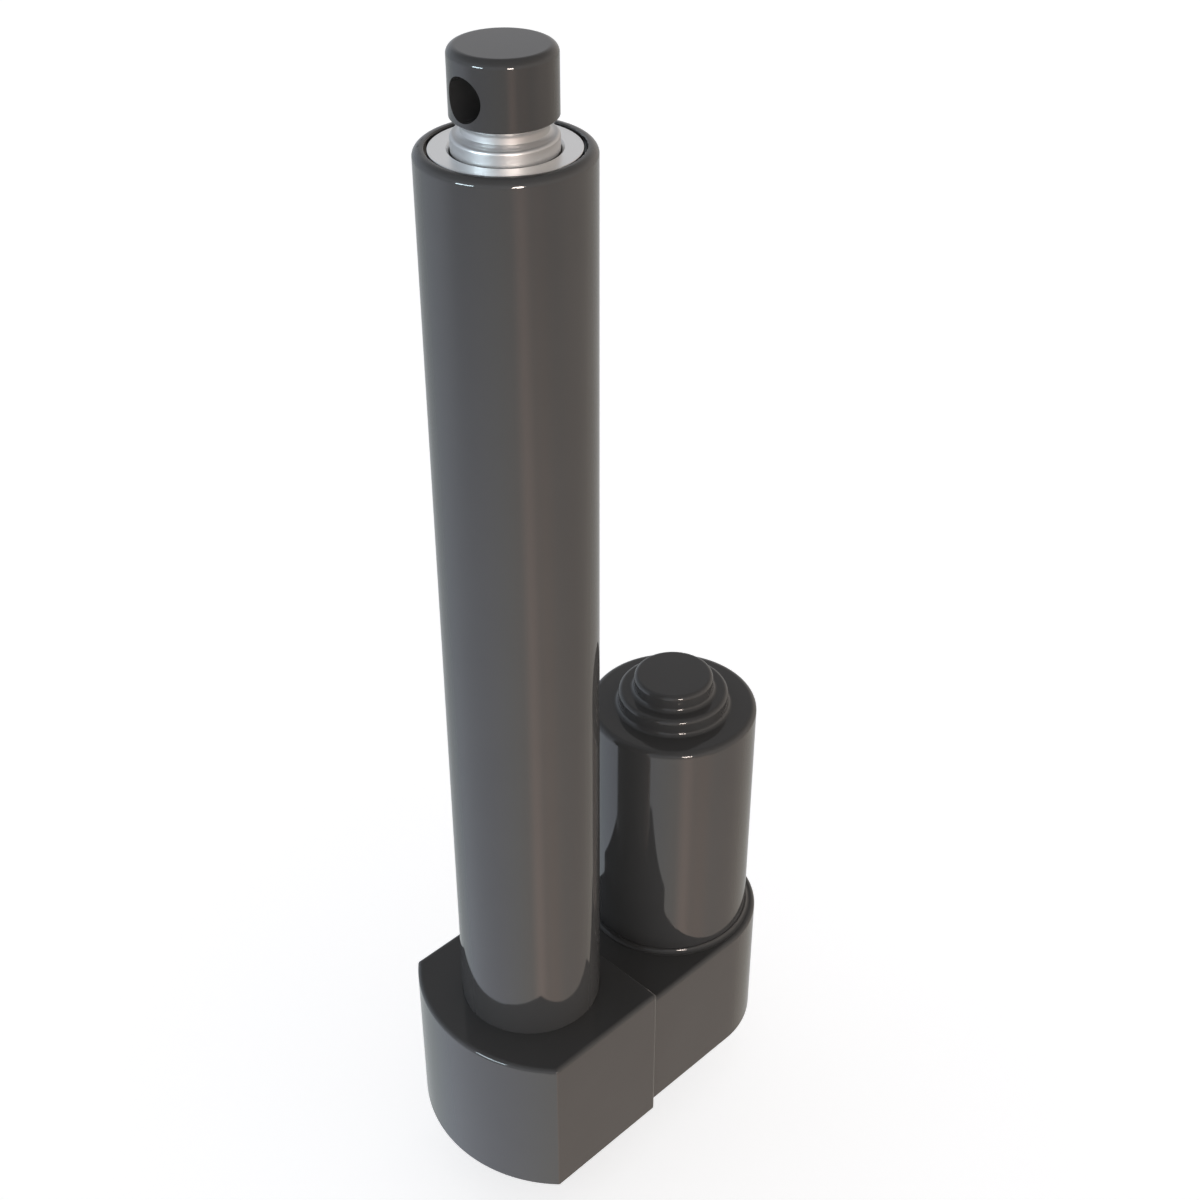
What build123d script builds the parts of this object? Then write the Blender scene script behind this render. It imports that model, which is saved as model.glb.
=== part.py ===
from build123d import *
import math
import os

# An electric linear actuator with its motor beside the tube. All sizes are in millimetres.
# The origin is the centre of the rear mounting bore. +Z runs up the tube axis, towards the rod
# end, and +X runs from the tube axis to the motor axis. The model is at rest fully retracted.

# Travel, on a screw with a lead of 8 mm
STROKE = 250.0

# Mounting bores, both along X
BORE_RADIUS = 6.15
HOUSING_BOTTOM = 15.5

# Rear tang: a turned piece whose spigot is staked in the rear cover
TANG_RADIUS = 15.0
TANG_REACH = 11.0
TANG_EDGE = 2.0
TANG_COVE = 2.5
TANG_SPIGOT_RADIUS = 10.0
TANG_STAKE = 2.0

# Tube block: the D-shaped housing block that holds the tube, the screw bearing and the screw gear
TUBE_BLOCK_HEIGHT = 62.3
TUBE_BLOCK_SIDE_WALL = 12.3
SEAM_WALL = 3.1
NOSE_RADIUS = 54.6
NOSE_CENTRE_X = 16.6
NOSE_CORNER = 0.8
BLOCK_EDGE = 1.6

# Motor block: the lower, narrower block with a round end about the motor
MOTOR_BLOCK_HEIGHT = 55.3
MOTOR_BLOCK_HALF_WIDTH = 34.5
MOTOR_WEB = 6.0

# Rear cover, let in flush from below, and its countersunk screws
COVER_THICKNESS = 5.0
COVER_INSET = 2.4
COVER_SCREW_RADIUS = 2.0
COVER_SCREW_HEAD = 3.8
COVER_SCREW_LENGTH = 16.0
COVER_SCREW_KEY = 2.5
COVER_SCREW_EDGE = 5.2
COVER_SCREW_FRONT_X = -18.5
COVER_SCREW_TO_SEAM = 7.0
COVER_SCREW_SIDE_X = 65.5
COVER_SCREW_TAIL_ANGLE = 45.0

# Screws that pull the two blocks together, put in from the motor socket
BLOCK_SCREW_RADIUS = 2.0
BLOCK_SCREW_HEAD = 3.5
BLOCK_SCREW_HEAD_LENGTH = 4.0
BLOCK_SCREW_LENGTH = 22.0
BLOCK_SCREW_GRIP = 11.5
BLOCK_SCREW_Y = 29.0
BLOCK_SCREW_DROPS = (7.0, 19.0)

# Cover tube
TUBE_RADIUS = 25.4
TUBE_WALL = 3.4
TUBE_RIM_EDGE = 2.4
TUBE_MOUTH_EDGE = 0.4

# Gland: the bright ring in the tube mouth, with the wiper, the guide bush and the O-ring
GLAND_BELOW_RIM = 0.4
GLAND_RIM_GAP = 0.75
GLAND_LENGTH = 36.0
GLAND_COLLAR = 4.0
GLAND_GAP = 0.35
GLAND_EDGE = 0.25
GLAND_MOUTH = 0.7
WIPER_DEPTH = 5.0
WIPER_HEIGHT = 5.0
WIPER_WALL = 3.5
WIPER_LIP = 1.0
WIPER_RELIEF = 0.8
BUSH_DEPTH = 16.0
BUSH_WALL = 2.5
O_RING_SECTION = 1.2
GLAND_O_RING_DEPTH = 12.0
SOCKET_O_RING_DEPTH = 8.0

# Rod: the extension tube and the rod end with its neck
ROD_ROOM = 7.0
ROD_WALL = 4.0
ROD_JOINT_BELOW_GLAND = 3.0
SPIGOT_LENGTH = 25.0
COLLAR_ABOVE_GLAND = 4.2
COLLAR_EDGE = 1.1
NECK_DEPTH = 2.8
NECK_LOW_ABOVE_GLAND = 5.0
NECK_HIGH_ABOVE_GLAND = 6.6
LIP_SETBACK = 1.0
LIP_ABOVE_GLAND = 8.5
HEAD_ABOVE_GLAND = 8.8
HEAD_HEIGHT = 19.2
HEAD_TOP_EDGE = 2.4
HEAD_BOTTOM_EDGE = 0.4
HEAD_BORE_BELOW_TOP = 11.6

# Lead screw and drive nut
SCREW_ROOM = 3.0
SCREW_JOURNAL_STEP = 0.5
SCREW_COLLAR_STEP = 3.0
SCREW_COLLAR_HEIGHT = 3.5
SCREW_SEAT_STEP = 2.0
SCREW_TAIL = 1.0
SCREW_OVERRUN = 14.0
SCREW_END_GAP = 4.5
SCREW_TIP_CHAMFER = 1.0
SCREW_GUIDE_HEIGHT = 6.0
SCREW_GUIDE_CHAMFER = 0.6
NUT_FLANGE_HEIGHT = 18.0
NUT_SHANK_LENGTH = 24.0
NUT_ABOVE_COLLAR = 2.5
BAND_DEPTH = 1.8
BAND_HEIGHT = 10.0
NUT_PIN_RADIUS = 2.0
NUT_PIN_HEIGHTS = (8.0, 17.0)

# Screw bearing, a deep-groove ball bearing
BEARING_WIDTH = 12.0
BEARING_LIP = 2.0
BEARING_LIP_STEP = 3.0
RACE_THICKNESS_INNER = 3.7
RACE_THICKNESS_OUTER = 3.6
RACE_TO_PITCH = 2.1
BALL_RADIUS = 3.3
BALL_COUNT = 8
CIRCLIP_HEIGHT = 1.5
CIRCLIP_WIDTH = 2.4
CIRCLIP_GAP = 7.0
CIRCLIP_EYE_ANGLE = 14.0
CIRCLIP_EYE_RADIUS = 1.8
CIRCLIP_EYE_HOLE = 0.8
GEAR_NUT_HEIGHT = 5.0
GEAR_NUT_WALL = 2.0
KEY_WIDTH = 4.0
KEY_DEPTH = 2.0
KEY_END_GAP = 0.5

# Gear train: motor pinion, compound idler, screw gear
PRESSURE_ANGLE = 20.0
FAST_MODULE = 1.0
SLOW_MODULE = 1.5
PINION_TEETH = 13
WHEEL_TEETH = 55
IDLER_PINION_TEETH = 13
SCREW_GEAR_TEETH = 40
PROFILE_SHIFT = 0.3
BACKLASH = 0.12
TOOTH_TIP_GAP = 0.25
FAST_FACE = 6.0
SLOW_FACE = 9.0
GEAR_FLOOR_GAP = 1.5
GEAR_LEVEL_GAP = 1.5
GEAR_ROOF_GAP = 2.0
GEAR_WALL_GAP = 0.8
GEAR_RIM = 3.0
GEAR_WEB_RECESS = 1.5
GEAR_HUB_STEP = 1.0
HUB_WALL = 3.5
IDLER_PIN_RADIUS = 4.0
IDLER_PIN_SEAT = 3.0
IDLER_PIN_GRIP = 4.5
IDLER_BUSH_WALL = 1.2
PINION_POCKET_RADIUS = 20.0

# Motor
CAN_RADIUS = 30.6
CAN_WALL = 2.1
CAN_LENGTH = 122.0
CAN_EDGE = 2.2
GASKET_COVE = 1.6
GASKET_LIP = 0.3
BELL_RADIUS = 20.0
BELL_HEIGHT = 6.4
BELL_EDGE = 1.6
CAP_RADIUS = 14.3
CAP_HEIGHT = 6.4
CAP_EDGE = 1.5
FOOT_COVE = 1.6
BELL_SPIGOT_RADIUS = 17.5
BELL_SPIGOT_LENGTH = 6.0
SHAFT_RADIUS = 4.0
SHAFT_GAP = 1.0
SHAFT_CHAMFER = 0.5
SHAFT_BELOW_PINION = 0.5
SHAFT_ABOVE_BEARING = 1.5
MOTOR_BEARING_RADIUS = 7.5
MOTOR_BEARING_LENGTH = 7.5
PLATE_THICKNESS = 4.0
PLATE_BOSS_RADIUS = 10.0
PLATE_BOSS_HEIGHT = 5.0
MOTOR_SCREW_RADIUS = 2.0
MOTOR_SCREW_HEAD = 3.5
MOTOR_SCREW_HEAD_LENGTH = 3.0
MOTOR_SCREW_PITCH_RADIUS = 15.0
BRUSH_CARD_RISE = 9.5
BRUSH_CARD_THICKNESS = 2.0
BRUSH_CARD_HOLE = 12.0
BRUSH_WIDTH = 5.0
BRUSH_HEIGHT = 7.0
BRUSH_LENGTH = 9.0
HOLDER_WALL = 1.0
HOLDER_REACH = 26.0
COMMUTATOR_RADIUS = 10.0
COMMUTATOR_LENGTH = 12.0
COMMUTATOR_SLIT = 0.6
COMMUTATOR_SLIT_DEPTH = 1.0
COMMUTATOR_RISER = 2.0
ARMATURE_RADIUS = 22.9
ARMATURE_LENGTH = 52.0
ARMATURE_RISE = 15.0
SLOT_COUNT = 12
SLOT_RADIUS = 2.7
SLOT_PITCH_RADIUS = 18.2
SLOT_MOUTH = 1.6
COIL_END_HEIGHT = 7.0
COIL_END_INNER = 8.0
MAGNET_THICKNESS = 4.6
MAGNET_LENGTH = 56.0
MAGNET_SPAN = 136.0

# Cable inlet at the round end of the motor block
INLET_RADIUS = 5.0
INLET_BORE = 2.5
INLET_FLANGE_RADIUS = 7.0
INLET_FLANGE = 2.0
INLET_EDGE = 0.8
INLET_BELOW_BLOCK_TOP = 8.8

# Clearances, and how closely an edge is matched to its place
SEAT = 0.05
RUNNING = 0.06
MATCH = 0.001

# Radii that follow from the sizes
TUBE_BORE = TUBE_RADIUS - TUBE_WALL
GLAND_RADIUS = TUBE_BORE - GLAND_RIM_GAP
ROD_RADIUS = TUBE_BORE - ROD_ROOM
ROD_BORE = ROD_RADIUS - ROD_WALL
NECK_RADIUS = ROD_RADIUS - NECK_DEPTH
LIP_RADIUS = ROD_RADIUS - LIP_SETBACK
WIPER_RADIUS = ROD_RADIUS + WIPER_WALL
BUSH_RADIUS = ROD_RADIUS + BUSH_WALL
SCREW_RADIUS = ROD_BORE - SCREW_ROOM
SCREW_JOURNAL_RADIUS = SCREW_RADIUS + SCREW_JOURNAL_STEP
SCREW_COLLAR_RADIUS = SCREW_RADIUS + SCREW_COLLAR_STEP
SCREW_GEAR_SEAT_RADIUS = SCREW_RADIUS - SCREW_SEAT_STEP
HUB_RADIUS = SCREW_GEAR_SEAT_RADIUS + HUB_WALL
GEAR_NUT_ACROSS = 2 * (SCREW_GEAR_SEAT_RADIUS + GEAR_NUT_WALL)
RACE_LAND_INNER = SCREW_JOURNAL_RADIUS + RACE_THICKNESS_INNER
BALL_PITCH_RADIUS = RACE_LAND_INNER + RACE_TO_PITCH
RACE_LAND_OUTER = BALL_PITCH_RADIUS + RACE_TO_PITCH
BEARING_RADIUS = RACE_LAND_OUTER + RACE_THICKNESS_OUTER
BEARING_LIP_RADIUS = BEARING_RADIUS - BEARING_LIP_STEP
CIRCLIP_INNER = BEARING_RADIUS - CIRCLIP_WIDTH
CAN_BORE = CAN_RADIUS - CAN_WALL

# Heights that follow, from the housing's underside to the rod end
BLOCK_TOP = HOUSING_BOTTOM + TUBE_BLOCK_HEIGHT
MOTOR_BLOCK_TOP = HOUSING_BOTTOM + MOTOR_BLOCK_HEIGHT
COVER_TOP = HOUSING_BOTTOM + COVER_THICKNESS
FAST_LOW = COVER_TOP + GEAR_FLOOR_GAP
FAST_HIGH = FAST_LOW + FAST_FACE
SLOW_LOW = FAST_HIGH + GEAR_LEVEL_GAP
SLOW_HIGH = SLOW_LOW + SLOW_FACE
CAVITY_TOP = SLOW_HIGH + GEAR_ROOF_GAP
GEAR_NUT_LOW = SLOW_LOW - GEAR_NUT_HEIGHT
SCREW_BOTTOM = GEAR_NUT_LOW - SCREW_TAIL
BEARING_LOW = CAVITY_TOP + BEARING_LIP
BEARING_HIGH = BEARING_LOW + BEARING_WIDTH
TUBE_BOTTOM = BEARING_HIGH + CIRCLIP_HEIGHT
SCREW_COLLAR_TOP = BEARING_HIGH + SCREW_COLLAR_HEIGHT
NUT_LOW = SCREW_COLLAR_TOP + NUT_ABOVE_COLLAR
NUT_SHOULDER = NUT_LOW + NUT_FLANGE_HEIGHT
NUT_HIGH = NUT_SHOULDER + NUT_SHANK_LENGTH
SCREW_TOP = NUT_HIGH + STROKE + SCREW_OVERRUN
ROD_JOINT = SCREW_TOP + SCREW_END_GAP + SPIGOT_LENGTH
GLAND_TOP = ROD_JOINT + ROD_JOINT_BELOW_GLAND
GLAND_BOTTOM = GLAND_TOP - GLAND_LENGTH
TUBE_TOP = GLAND_TOP + GLAND_BELOW_RIM
HEAD_BOTTOM = GLAND_TOP + HEAD_ABOVE_GLAND
HEAD_TOP = HEAD_BOTTOM + HEAD_HEIGHT
HEAD_BORE_HEIGHT = HEAD_TOP - HEAD_BORE_BELOW_TOP

# Heights of the motor
MOTOR_SEAT = CAVITY_TOP + MOTOR_WEB
PLATE_TOP = MOTOR_SEAT + PLATE_THICKNESS
CAN_TOP = MOTOR_SEAT + CAN_LENGTH
BELL_TOP = CAN_TOP + BELL_HEIGHT
BRUSH_CARD_LOW = MOTOR_SEAT + BRUSH_CARD_RISE
BRUSH_CARD_TOP = BRUSH_CARD_LOW + BRUSH_CARD_THICKNESS
COMMUTATOR_LOW = BRUSH_CARD_TOP + HOLDER_WALL
COMMUTATOR_HIGH = COMMUTATOR_LOW + COMMUTATOR_LENGTH
ARMATURE_LOW = COMMUTATOR_HIGH + ARMATURE_RISE - COIL_END_HEIGHT
ARMATURE_HIGH = ARMATURE_LOW + ARMATURE_LENGTH
UPPER_BEARING_LOW = CAN_TOP - BELL_SPIGOT_LENGTH
UPPER_BEARING_HIGH = UPPER_BEARING_LOW + MOTOR_BEARING_LENGTH
INLET_HEIGHT = MOTOR_BLOCK_TOP - INLET_BELOW_BLOCK_TOP

# Places in plan that follow
TUBE_BLOCK_HALF_WIDTH = TUBE_RADIUS + TUBE_BLOCK_SIDE_WALL
SEAM_X = TUBE_RADIUS + SEAM_WALL
COVER_SCREW_SEAM_X = SEAM_X - COVER_SCREW_TO_SEAM
SLOW_CENTRES = SLOW_MODULE * (IDLER_PINION_TEETH + SCREW_GEAR_TEETH) / 2
FAST_CENTRES = FAST_MODULE * (PINION_TEETH + WHEEL_TEETH) / 2
IDLER_X = SLOW_CENTRES
MOTOR_X = SLOW_CENTRES + FAST_CENTRES

ON_FOOT = (Align.CENTER, Align.CENTER, Align.MIN)


def disc(radius, low, high, x=0.0, y=0.0):
    """An upright cylinder between two heights."""
    return Pos(x, y, low) * Cylinder(radius, high - low, align=ON_FOOT)


def ring(outer, inner, low, high, x=0.0, y=0.0):
    """An upright ring between two heights."""
    return disc(outer, low, high, x, y) - disc(inner, low, high, x, y)


def bar_x(radius, start, end, y, z):
    """A cylinder along X between two places."""
    turn = Rotation(0, 90, 0)
    return Pos(start, y, z) * turn * Cylinder(radius, end - start, align=ON_FOOT)


def bar_y(radius, half_length, x, z):
    """A cylinder along Y, centred on the XZ plane."""
    return Pos(x, 0, z) * Rotation(90, 0, 0) * Cylinder(radius, 2 * half_length)


def turned(edges, x=0.0):
    """A body of revolution about an upright axis, from a closed radius and height outline."""
    return Pos(x, 0, 0) * revolve(Plane.XZ * make_face(edges), Axis.Z)


def slab(outline, low, high):
    """A plan outline raised between two heights."""
    return Pos(0, 0, low) * extrude(outline, high - low)


def circles_at(part, height, radius):
    """The circular edges that lie at one height and have one radius."""
    return [
        edge
        for edge in part.edges().filter_by(GeomType.CIRCLE)
        if abs(edge.center().Z - height) < MATCH and abs(edge.radius - radius) < MATCH
    ]


def round_edges(part, height, radius, size):
    return fillet(circles_at(part, height, radius), size)


def export(part, name):
    """Write one node."""
    export_step(part, os.path.join("parts", name + ".step"))


# Housing blocks


def tube_block_plan(inset):
    """The D-shaped plan of the tube block, drawn in by an inset all round but at the seam."""
    half = TUBE_BLOCK_HALF_WIDTH - inset
    radius = NOSE_RADIUS - inset
    corner_x = NOSE_CENTRE_X - math.sqrt(radius**2 - half**2)
    nose = ThreePointArc((corner_x, half), (NOSE_CENTRE_X - radius, 0), (corner_x, -half))
    sides = Polyline((corner_x, -half), (SEAM_X, -half), (SEAM_X, half), (corner_x, half))
    return make_face([*nose.edges(), *sides.edges()])


def motor_block_plan(inset):
    """The plan of the motor block: straight sides and a round end about the motor."""
    half = MOTOR_BLOCK_HALF_WIDTH - inset
    tail = ThreePointArc((MOTOR_X, half), (MOTOR_X + half, 0), (MOTOR_X, -half))
    sides = Polyline((MOTOR_X, -half), (SEAM_X, -half), (SEAM_X, half), (MOTOR_X, half))
    return make_face([*tail.edges(), *sides.edges()])


def cover_plan(inset):
    return tube_block_plan(inset) + motor_block_plan(inset)


def cover_screw_places():
    """The eight cover screws: four in the tube block and four in the motor block."""
    front_y = TUBE_BLOCK_HALF_WIDTH - COVER_SCREW_EDGE
    side_y = MOTOR_BLOCK_HALF_WIDTH - COVER_SCREW_EDGE - SEAT
    tail = math.radians(COVER_SCREW_TAIL_ANGLE)
    tail_radius = MOTOR_BLOCK_HALF_WIDTH - COVER_SCREW_EDGE - COVER_INSET
    places = [
        (COVER_SCREW_FRONT_X, front_y),
        (COVER_SCREW_SEAM_X, front_y),
        (COVER_SCREW_SIDE_X, side_y),
        (MOTOR_X + tail_radius * math.cos(tail), tail_radius * math.sin(tail)),
    ]
    return [(x, side * y) for x, y in places for side in (1, -1)]


def cover_screw(extra, key):
    """One countersunk screw, or with some extra all round, the hole that takes it."""
    head = COVER_SCREW_HEAD + extra
    shank = COVER_SCREW_RADIUS + extra
    taper_top = HOUSING_BOTTOM + head - shank
    outline = Polyline(
        (0, HOUSING_BOTTOM),
        (head, HOUSING_BOTTOM),
        (shank, taper_top),
        (shank, HOUSING_BOTTOM + COVER_SCREW_LENGTH + extra),
        (0, HOUSING_BOTTOM + COVER_SCREW_LENGTH + extra),
        close=True,
    )
    screw = turned(outline)
    if key:
        socket = RegularPolygon(COVER_SCREW_KEY / 2, 6, major_radius=False)
        screw -= Pos(0, 0, HOUSING_BOTTOM) * extrude(socket, COVER_SCREW_KEY / 2)
    return screw


def at_places(part, places):
    return [Pos(x, y, 0) * part for x, y in places]


def block_screw_places():
    heights = [MOTOR_BLOCK_TOP - drop for drop in BLOCK_SCREW_DROPS]
    return [(side * BLOCK_SCREW_Y, height) for height in heights for side in (1, -1)]


def block_screw(y, z, extra, head_length):
    """One screw along X, or with some extra and a long head, the stepped hole that takes it."""
    head_x = SEAM_X + BLOCK_SCREW_GRIP
    shank = bar_x(BLOCK_SCREW_RADIUS + extra, head_x - BLOCK_SCREW_LENGTH - extra, head_x, y, z)
    return shank + bar_x(BLOCK_SCREW_HEAD + extra, head_x, head_x + head_length, y, z)


def make_block_screws():
    length = BLOCK_SCREW_HEAD_LENGTH
    return Compound([block_screw(y, z, 0, length) for y, z in block_screw_places()])


def motor_screw_places():
    return [(MOTOR_X, side * MOTOR_SCREW_PITCH_RADIUS) for side in (1, -1)]


def gear_cavity():
    """The space for the gear train, which runs through both blocks."""
    screw_gear_tip = SLOW_MODULE * (SCREW_GEAR_TEETH / 2 + 1 - PROFILE_SHIFT)
    wheel_tip = FAST_MODULE * (WHEEL_TEETH / 2 + 1 - PROFILE_SHIFT)
    cavity = disc(screw_gear_tip + GEAR_WALL_GAP, COVER_TOP, CAVITY_TOP)
    cavity += disc(wheel_tip + GEAR_WALL_GAP, COVER_TOP, CAVITY_TOP, IDLER_X)
    cavity += disc(PINION_POCKET_RADIUS, COVER_TOP, CAVITY_TOP, MOTOR_X)
    return cavity


def make_tube_housing():
    block = slab(tube_block_plan(0), HOUSING_BOTTOM, BLOCK_TOP)
    uprights = block.edges().filter_by(Axis.Z).group_by(Axis.X)
    block = fillet(uprights[-1], BLOCK_EDGE)
    uprights = block.edges().filter_by(Axis.Z).group_by(Axis.X)
    block = fillet(uprights[0], NOSE_CORNER)
    block = fillet(block.faces().sort_by(Axis.Z)[-1].edges(), BLOCK_EDGE)
    block -= slab(cover_plan(COVER_INSET), HOUSING_BOTTOM, COVER_TOP)
    block -= gear_cavity()
    block -= disc(BEARING_LIP_RADIUS, CAVITY_TOP, BEARING_LOW)
    block -= disc(BEARING_RADIUS + SEAT, BEARING_LOW, TUBE_BOTTOM)
    block -= disc(TUBE_RADIUS + SEAT, TUBE_BOTTOM, BLOCK_TOP)
    groove_top = BLOCK_TOP - SOCKET_O_RING_DEPTH
    groove_depth = TUBE_RADIUS + 2 * O_RING_SECTION + SEAT
    block -= disc(groove_depth, groove_top - 2 * O_RING_SECTION, groove_top)
    for place in cover_screw_places():
        block -= Pos(*place, 0) * cover_screw(SEAT, False)
    for y, z in block_screw_places():
        block -= block_screw(y, z, SEAT, BLOCK_SCREW_HEAD_LENGTH)
    return block


def make_motor_housing():
    block = slab(motor_block_plan(0), HOUSING_BOTTOM, MOTOR_BLOCK_TOP)
    top_edges = block.faces().sort_by(Axis.Z)[-1].edges().sort_by(Axis.X)[1:]
    block = fillet(top_edges, BLOCK_EDGE)
    block -= slab(cover_plan(COVER_INSET), HOUSING_BOTTOM, COVER_TOP)
    block -= gear_cavity()
    block -= disc(CAN_RADIUS + SEAT, MOTOR_SEAT, MOTOR_BLOCK_TOP, MOTOR_X)
    block -= disc(PLATE_BOSS_RADIUS + SEAT, CAVITY_TOP, MOTOR_SEAT, MOTOR_X)
    block -= disc(IDLER_PIN_RADIUS + SEAT, CAVITY_TOP, CAVITY_TOP + IDLER_PIN_GRIP + SEAT, IDLER_X)
    for place in cover_screw_places():
        block -= Pos(*place, 0) * cover_screw(SEAT, False)
    for y, z in block_screw_places():
        block -= block_screw(y, z, SEAT, MOTOR_X - SEAM_X - BLOCK_SCREW_GRIP)
    for x, y in motor_screw_places():
        block -= disc(MOTOR_SCREW_RADIUS + SEAT, CAVITY_TOP, MOTOR_SEAT, x, y)
    inlet_start = MOTOR_X + CAN_BORE / 2
    block -= bar_x(INLET_RADIUS + SEAT, inlet_start, MOTOR_X + MOTOR_BLOCK_HALF_WIDTH, 0, INLET_HEIGHT)
    return block


def tang_spigot(extra):
    """The staked spigot of the tang, or with some extra, its hole in the cover."""
    radius = TANG_SPIGOT_RADIUS + extra
    outline = Polyline(
        (0, HOUSING_BOTTOM),
        (radius, HOUSING_BOTTOM),
        (radius, COVER_TOP - TANG_STAKE),
        (radius + TANG_STAKE, COVER_TOP),
        (0, COVER_TOP),
        close=True,
    )
    return turned(outline)


def make_rear_tang():
    """The mounting tang under the tube axis, with a small cove where it meets the cover."""
    turn = math.sqrt(0.5)
    foot = TANG_RADIUS + TANG_COVE
    cove_low = HOUSING_BOTTOM - TANG_COVE
    cove = ThreePointArc(
        (TANG_RADIUS, cove_low),
        (foot - TANG_COVE * turn, HOUSING_BOTTOM - TANG_COVE * (1 - turn)),
        (foot, HOUSING_BOTTOM),
    )
    rest = Polyline(
        (foot, HOUSING_BOTTOM),
        (0, HOUSING_BOTTOM),
        (0, -TANG_REACH),
        (TANG_RADIUS, -TANG_REACH),
        (TANG_RADIUS, cove_low),
    )
    tang = turned([*cove.edges(), *rest.edges()])
    tang = fillet(tang.edges().filter_by(GeomType.CIRCLE).sort_by(Axis.Z)[0], TANG_EDGE)
    tang += tang_spigot(0)
    return tang - bar_x(BORE_RADIUS, -2 * TANG_RADIUS, 2 * TANG_RADIUS, 0, 0)


def make_rear_cover():
    """The cover plate that closes the gear space from below, flush with the blocks."""
    cover = slab(cover_plan(COVER_INSET + SEAT), HOUSING_BOTTOM, COVER_TOP) - tang_spigot(SEAT)
    cover -= disc(IDLER_PIN_RADIUS + SEAT, COVER_TOP - IDLER_PIN_SEAT, COVER_TOP, IDLER_X)
    for place in cover_screw_places():
        cover -= Pos(*place, 0) * cover_screw(SEAT, False)
    return cover


# Tube, gland and rod


def make_cover_tube():
    tube = ring(TUBE_RADIUS, TUBE_BORE, TUBE_BOTTOM, TUBE_TOP)
    tube = round_edges(tube, TUBE_TOP, TUBE_RADIUS, TUBE_RIM_EDGE)
    return round_edges(tube, TUBE_TOP, TUBE_BORE, TUBE_MOUTH_EDGE)


def make_gland():
    collar_bottom = GLAND_TOP - GLAND_COLLAR
    gland = disc(GLAND_RADIUS, collar_bottom, GLAND_TOP)
    gland = round_edges(gland, GLAND_TOP, GLAND_RADIUS, GLAND_EDGE)
    gland += disc(TUBE_BORE - SEAT, GLAND_BOTTOM, collar_bottom)
    gland -= disc(ROD_RADIUS + GLAND_GAP, GLAND_BOTTOM, GLAND_TOP)
    gland = chamfer(circles_at(gland, GLAND_TOP, ROD_RADIUS + GLAND_GAP), GLAND_MOUTH)
    wiper_top = GLAND_TOP - WIPER_DEPTH
    gland -= disc(WIPER_RADIUS, wiper_top - WIPER_HEIGHT, wiper_top)
    gland -= disc(BUSH_RADIUS, GLAND_BOTTOM, GLAND_TOP - BUSH_DEPTH)
    groove_top = GLAND_TOP - GLAND_O_RING_DEPTH
    groove_radius = TUBE_BORE - 2 * O_RING_SECTION
    groove = ring(TUBE_RADIUS, groove_radius, groove_top - 2 * O_RING_SECTION, groove_top)
    return gland - groove


def make_rod_wiper():
    """The wiper's two lips bear on the rod, with a relief between them."""
    top = GLAND_TOP - WIPER_DEPTH
    bottom = top - WIPER_HEIGHT
    lip = ROD_RADIUS + RUNNING
    outline = Polyline(
        (WIPER_RADIUS - SEAT, bottom),
        (WIPER_RADIUS - SEAT, top),
        (lip + WIPER_LIP, top),
        (lip, top - WIPER_LIP),
        (lip + WIPER_RELIEF, (top + bottom) / 2),
        (lip, bottom + WIPER_LIP),
        (lip + WIPER_LIP, bottom),
        close=True,
    )
    return turned(outline)


def make_guide_bush():
    return ring(BUSH_RADIUS - SEAT, ROD_RADIUS + RUNNING, GLAND_BOTTOM, GLAND_TOP - BUSH_DEPTH)


def o_ring(middle_radius, height):
    section = Pos(middle_radius, height) * Circle(O_RING_SECTION - SEAT)
    return revolve(Plane.XZ * section, Axis.Z)


def make_gland_o_ring():
    return o_ring(TUBE_BORE - O_RING_SECTION, GLAND_TOP - GLAND_O_RING_DEPTH - O_RING_SECTION)


def make_socket_o_ring():
    return o_ring(TUBE_RADIUS + O_RING_SECTION, BLOCK_TOP - SOCKET_O_RING_DEPTH - O_RING_SECTION)


def make_extension_tube():
    tube = ring(ROD_RADIUS, ROD_BORE, NUT_SHOULDER, ROD_JOINT)
    for height in NUT_PIN_HEIGHTS:
        tube -= bar_y(NUT_PIN_RADIUS + SEAT, ROD_RADIUS, 0, NUT_SHOULDER + height)
    return tube


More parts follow.
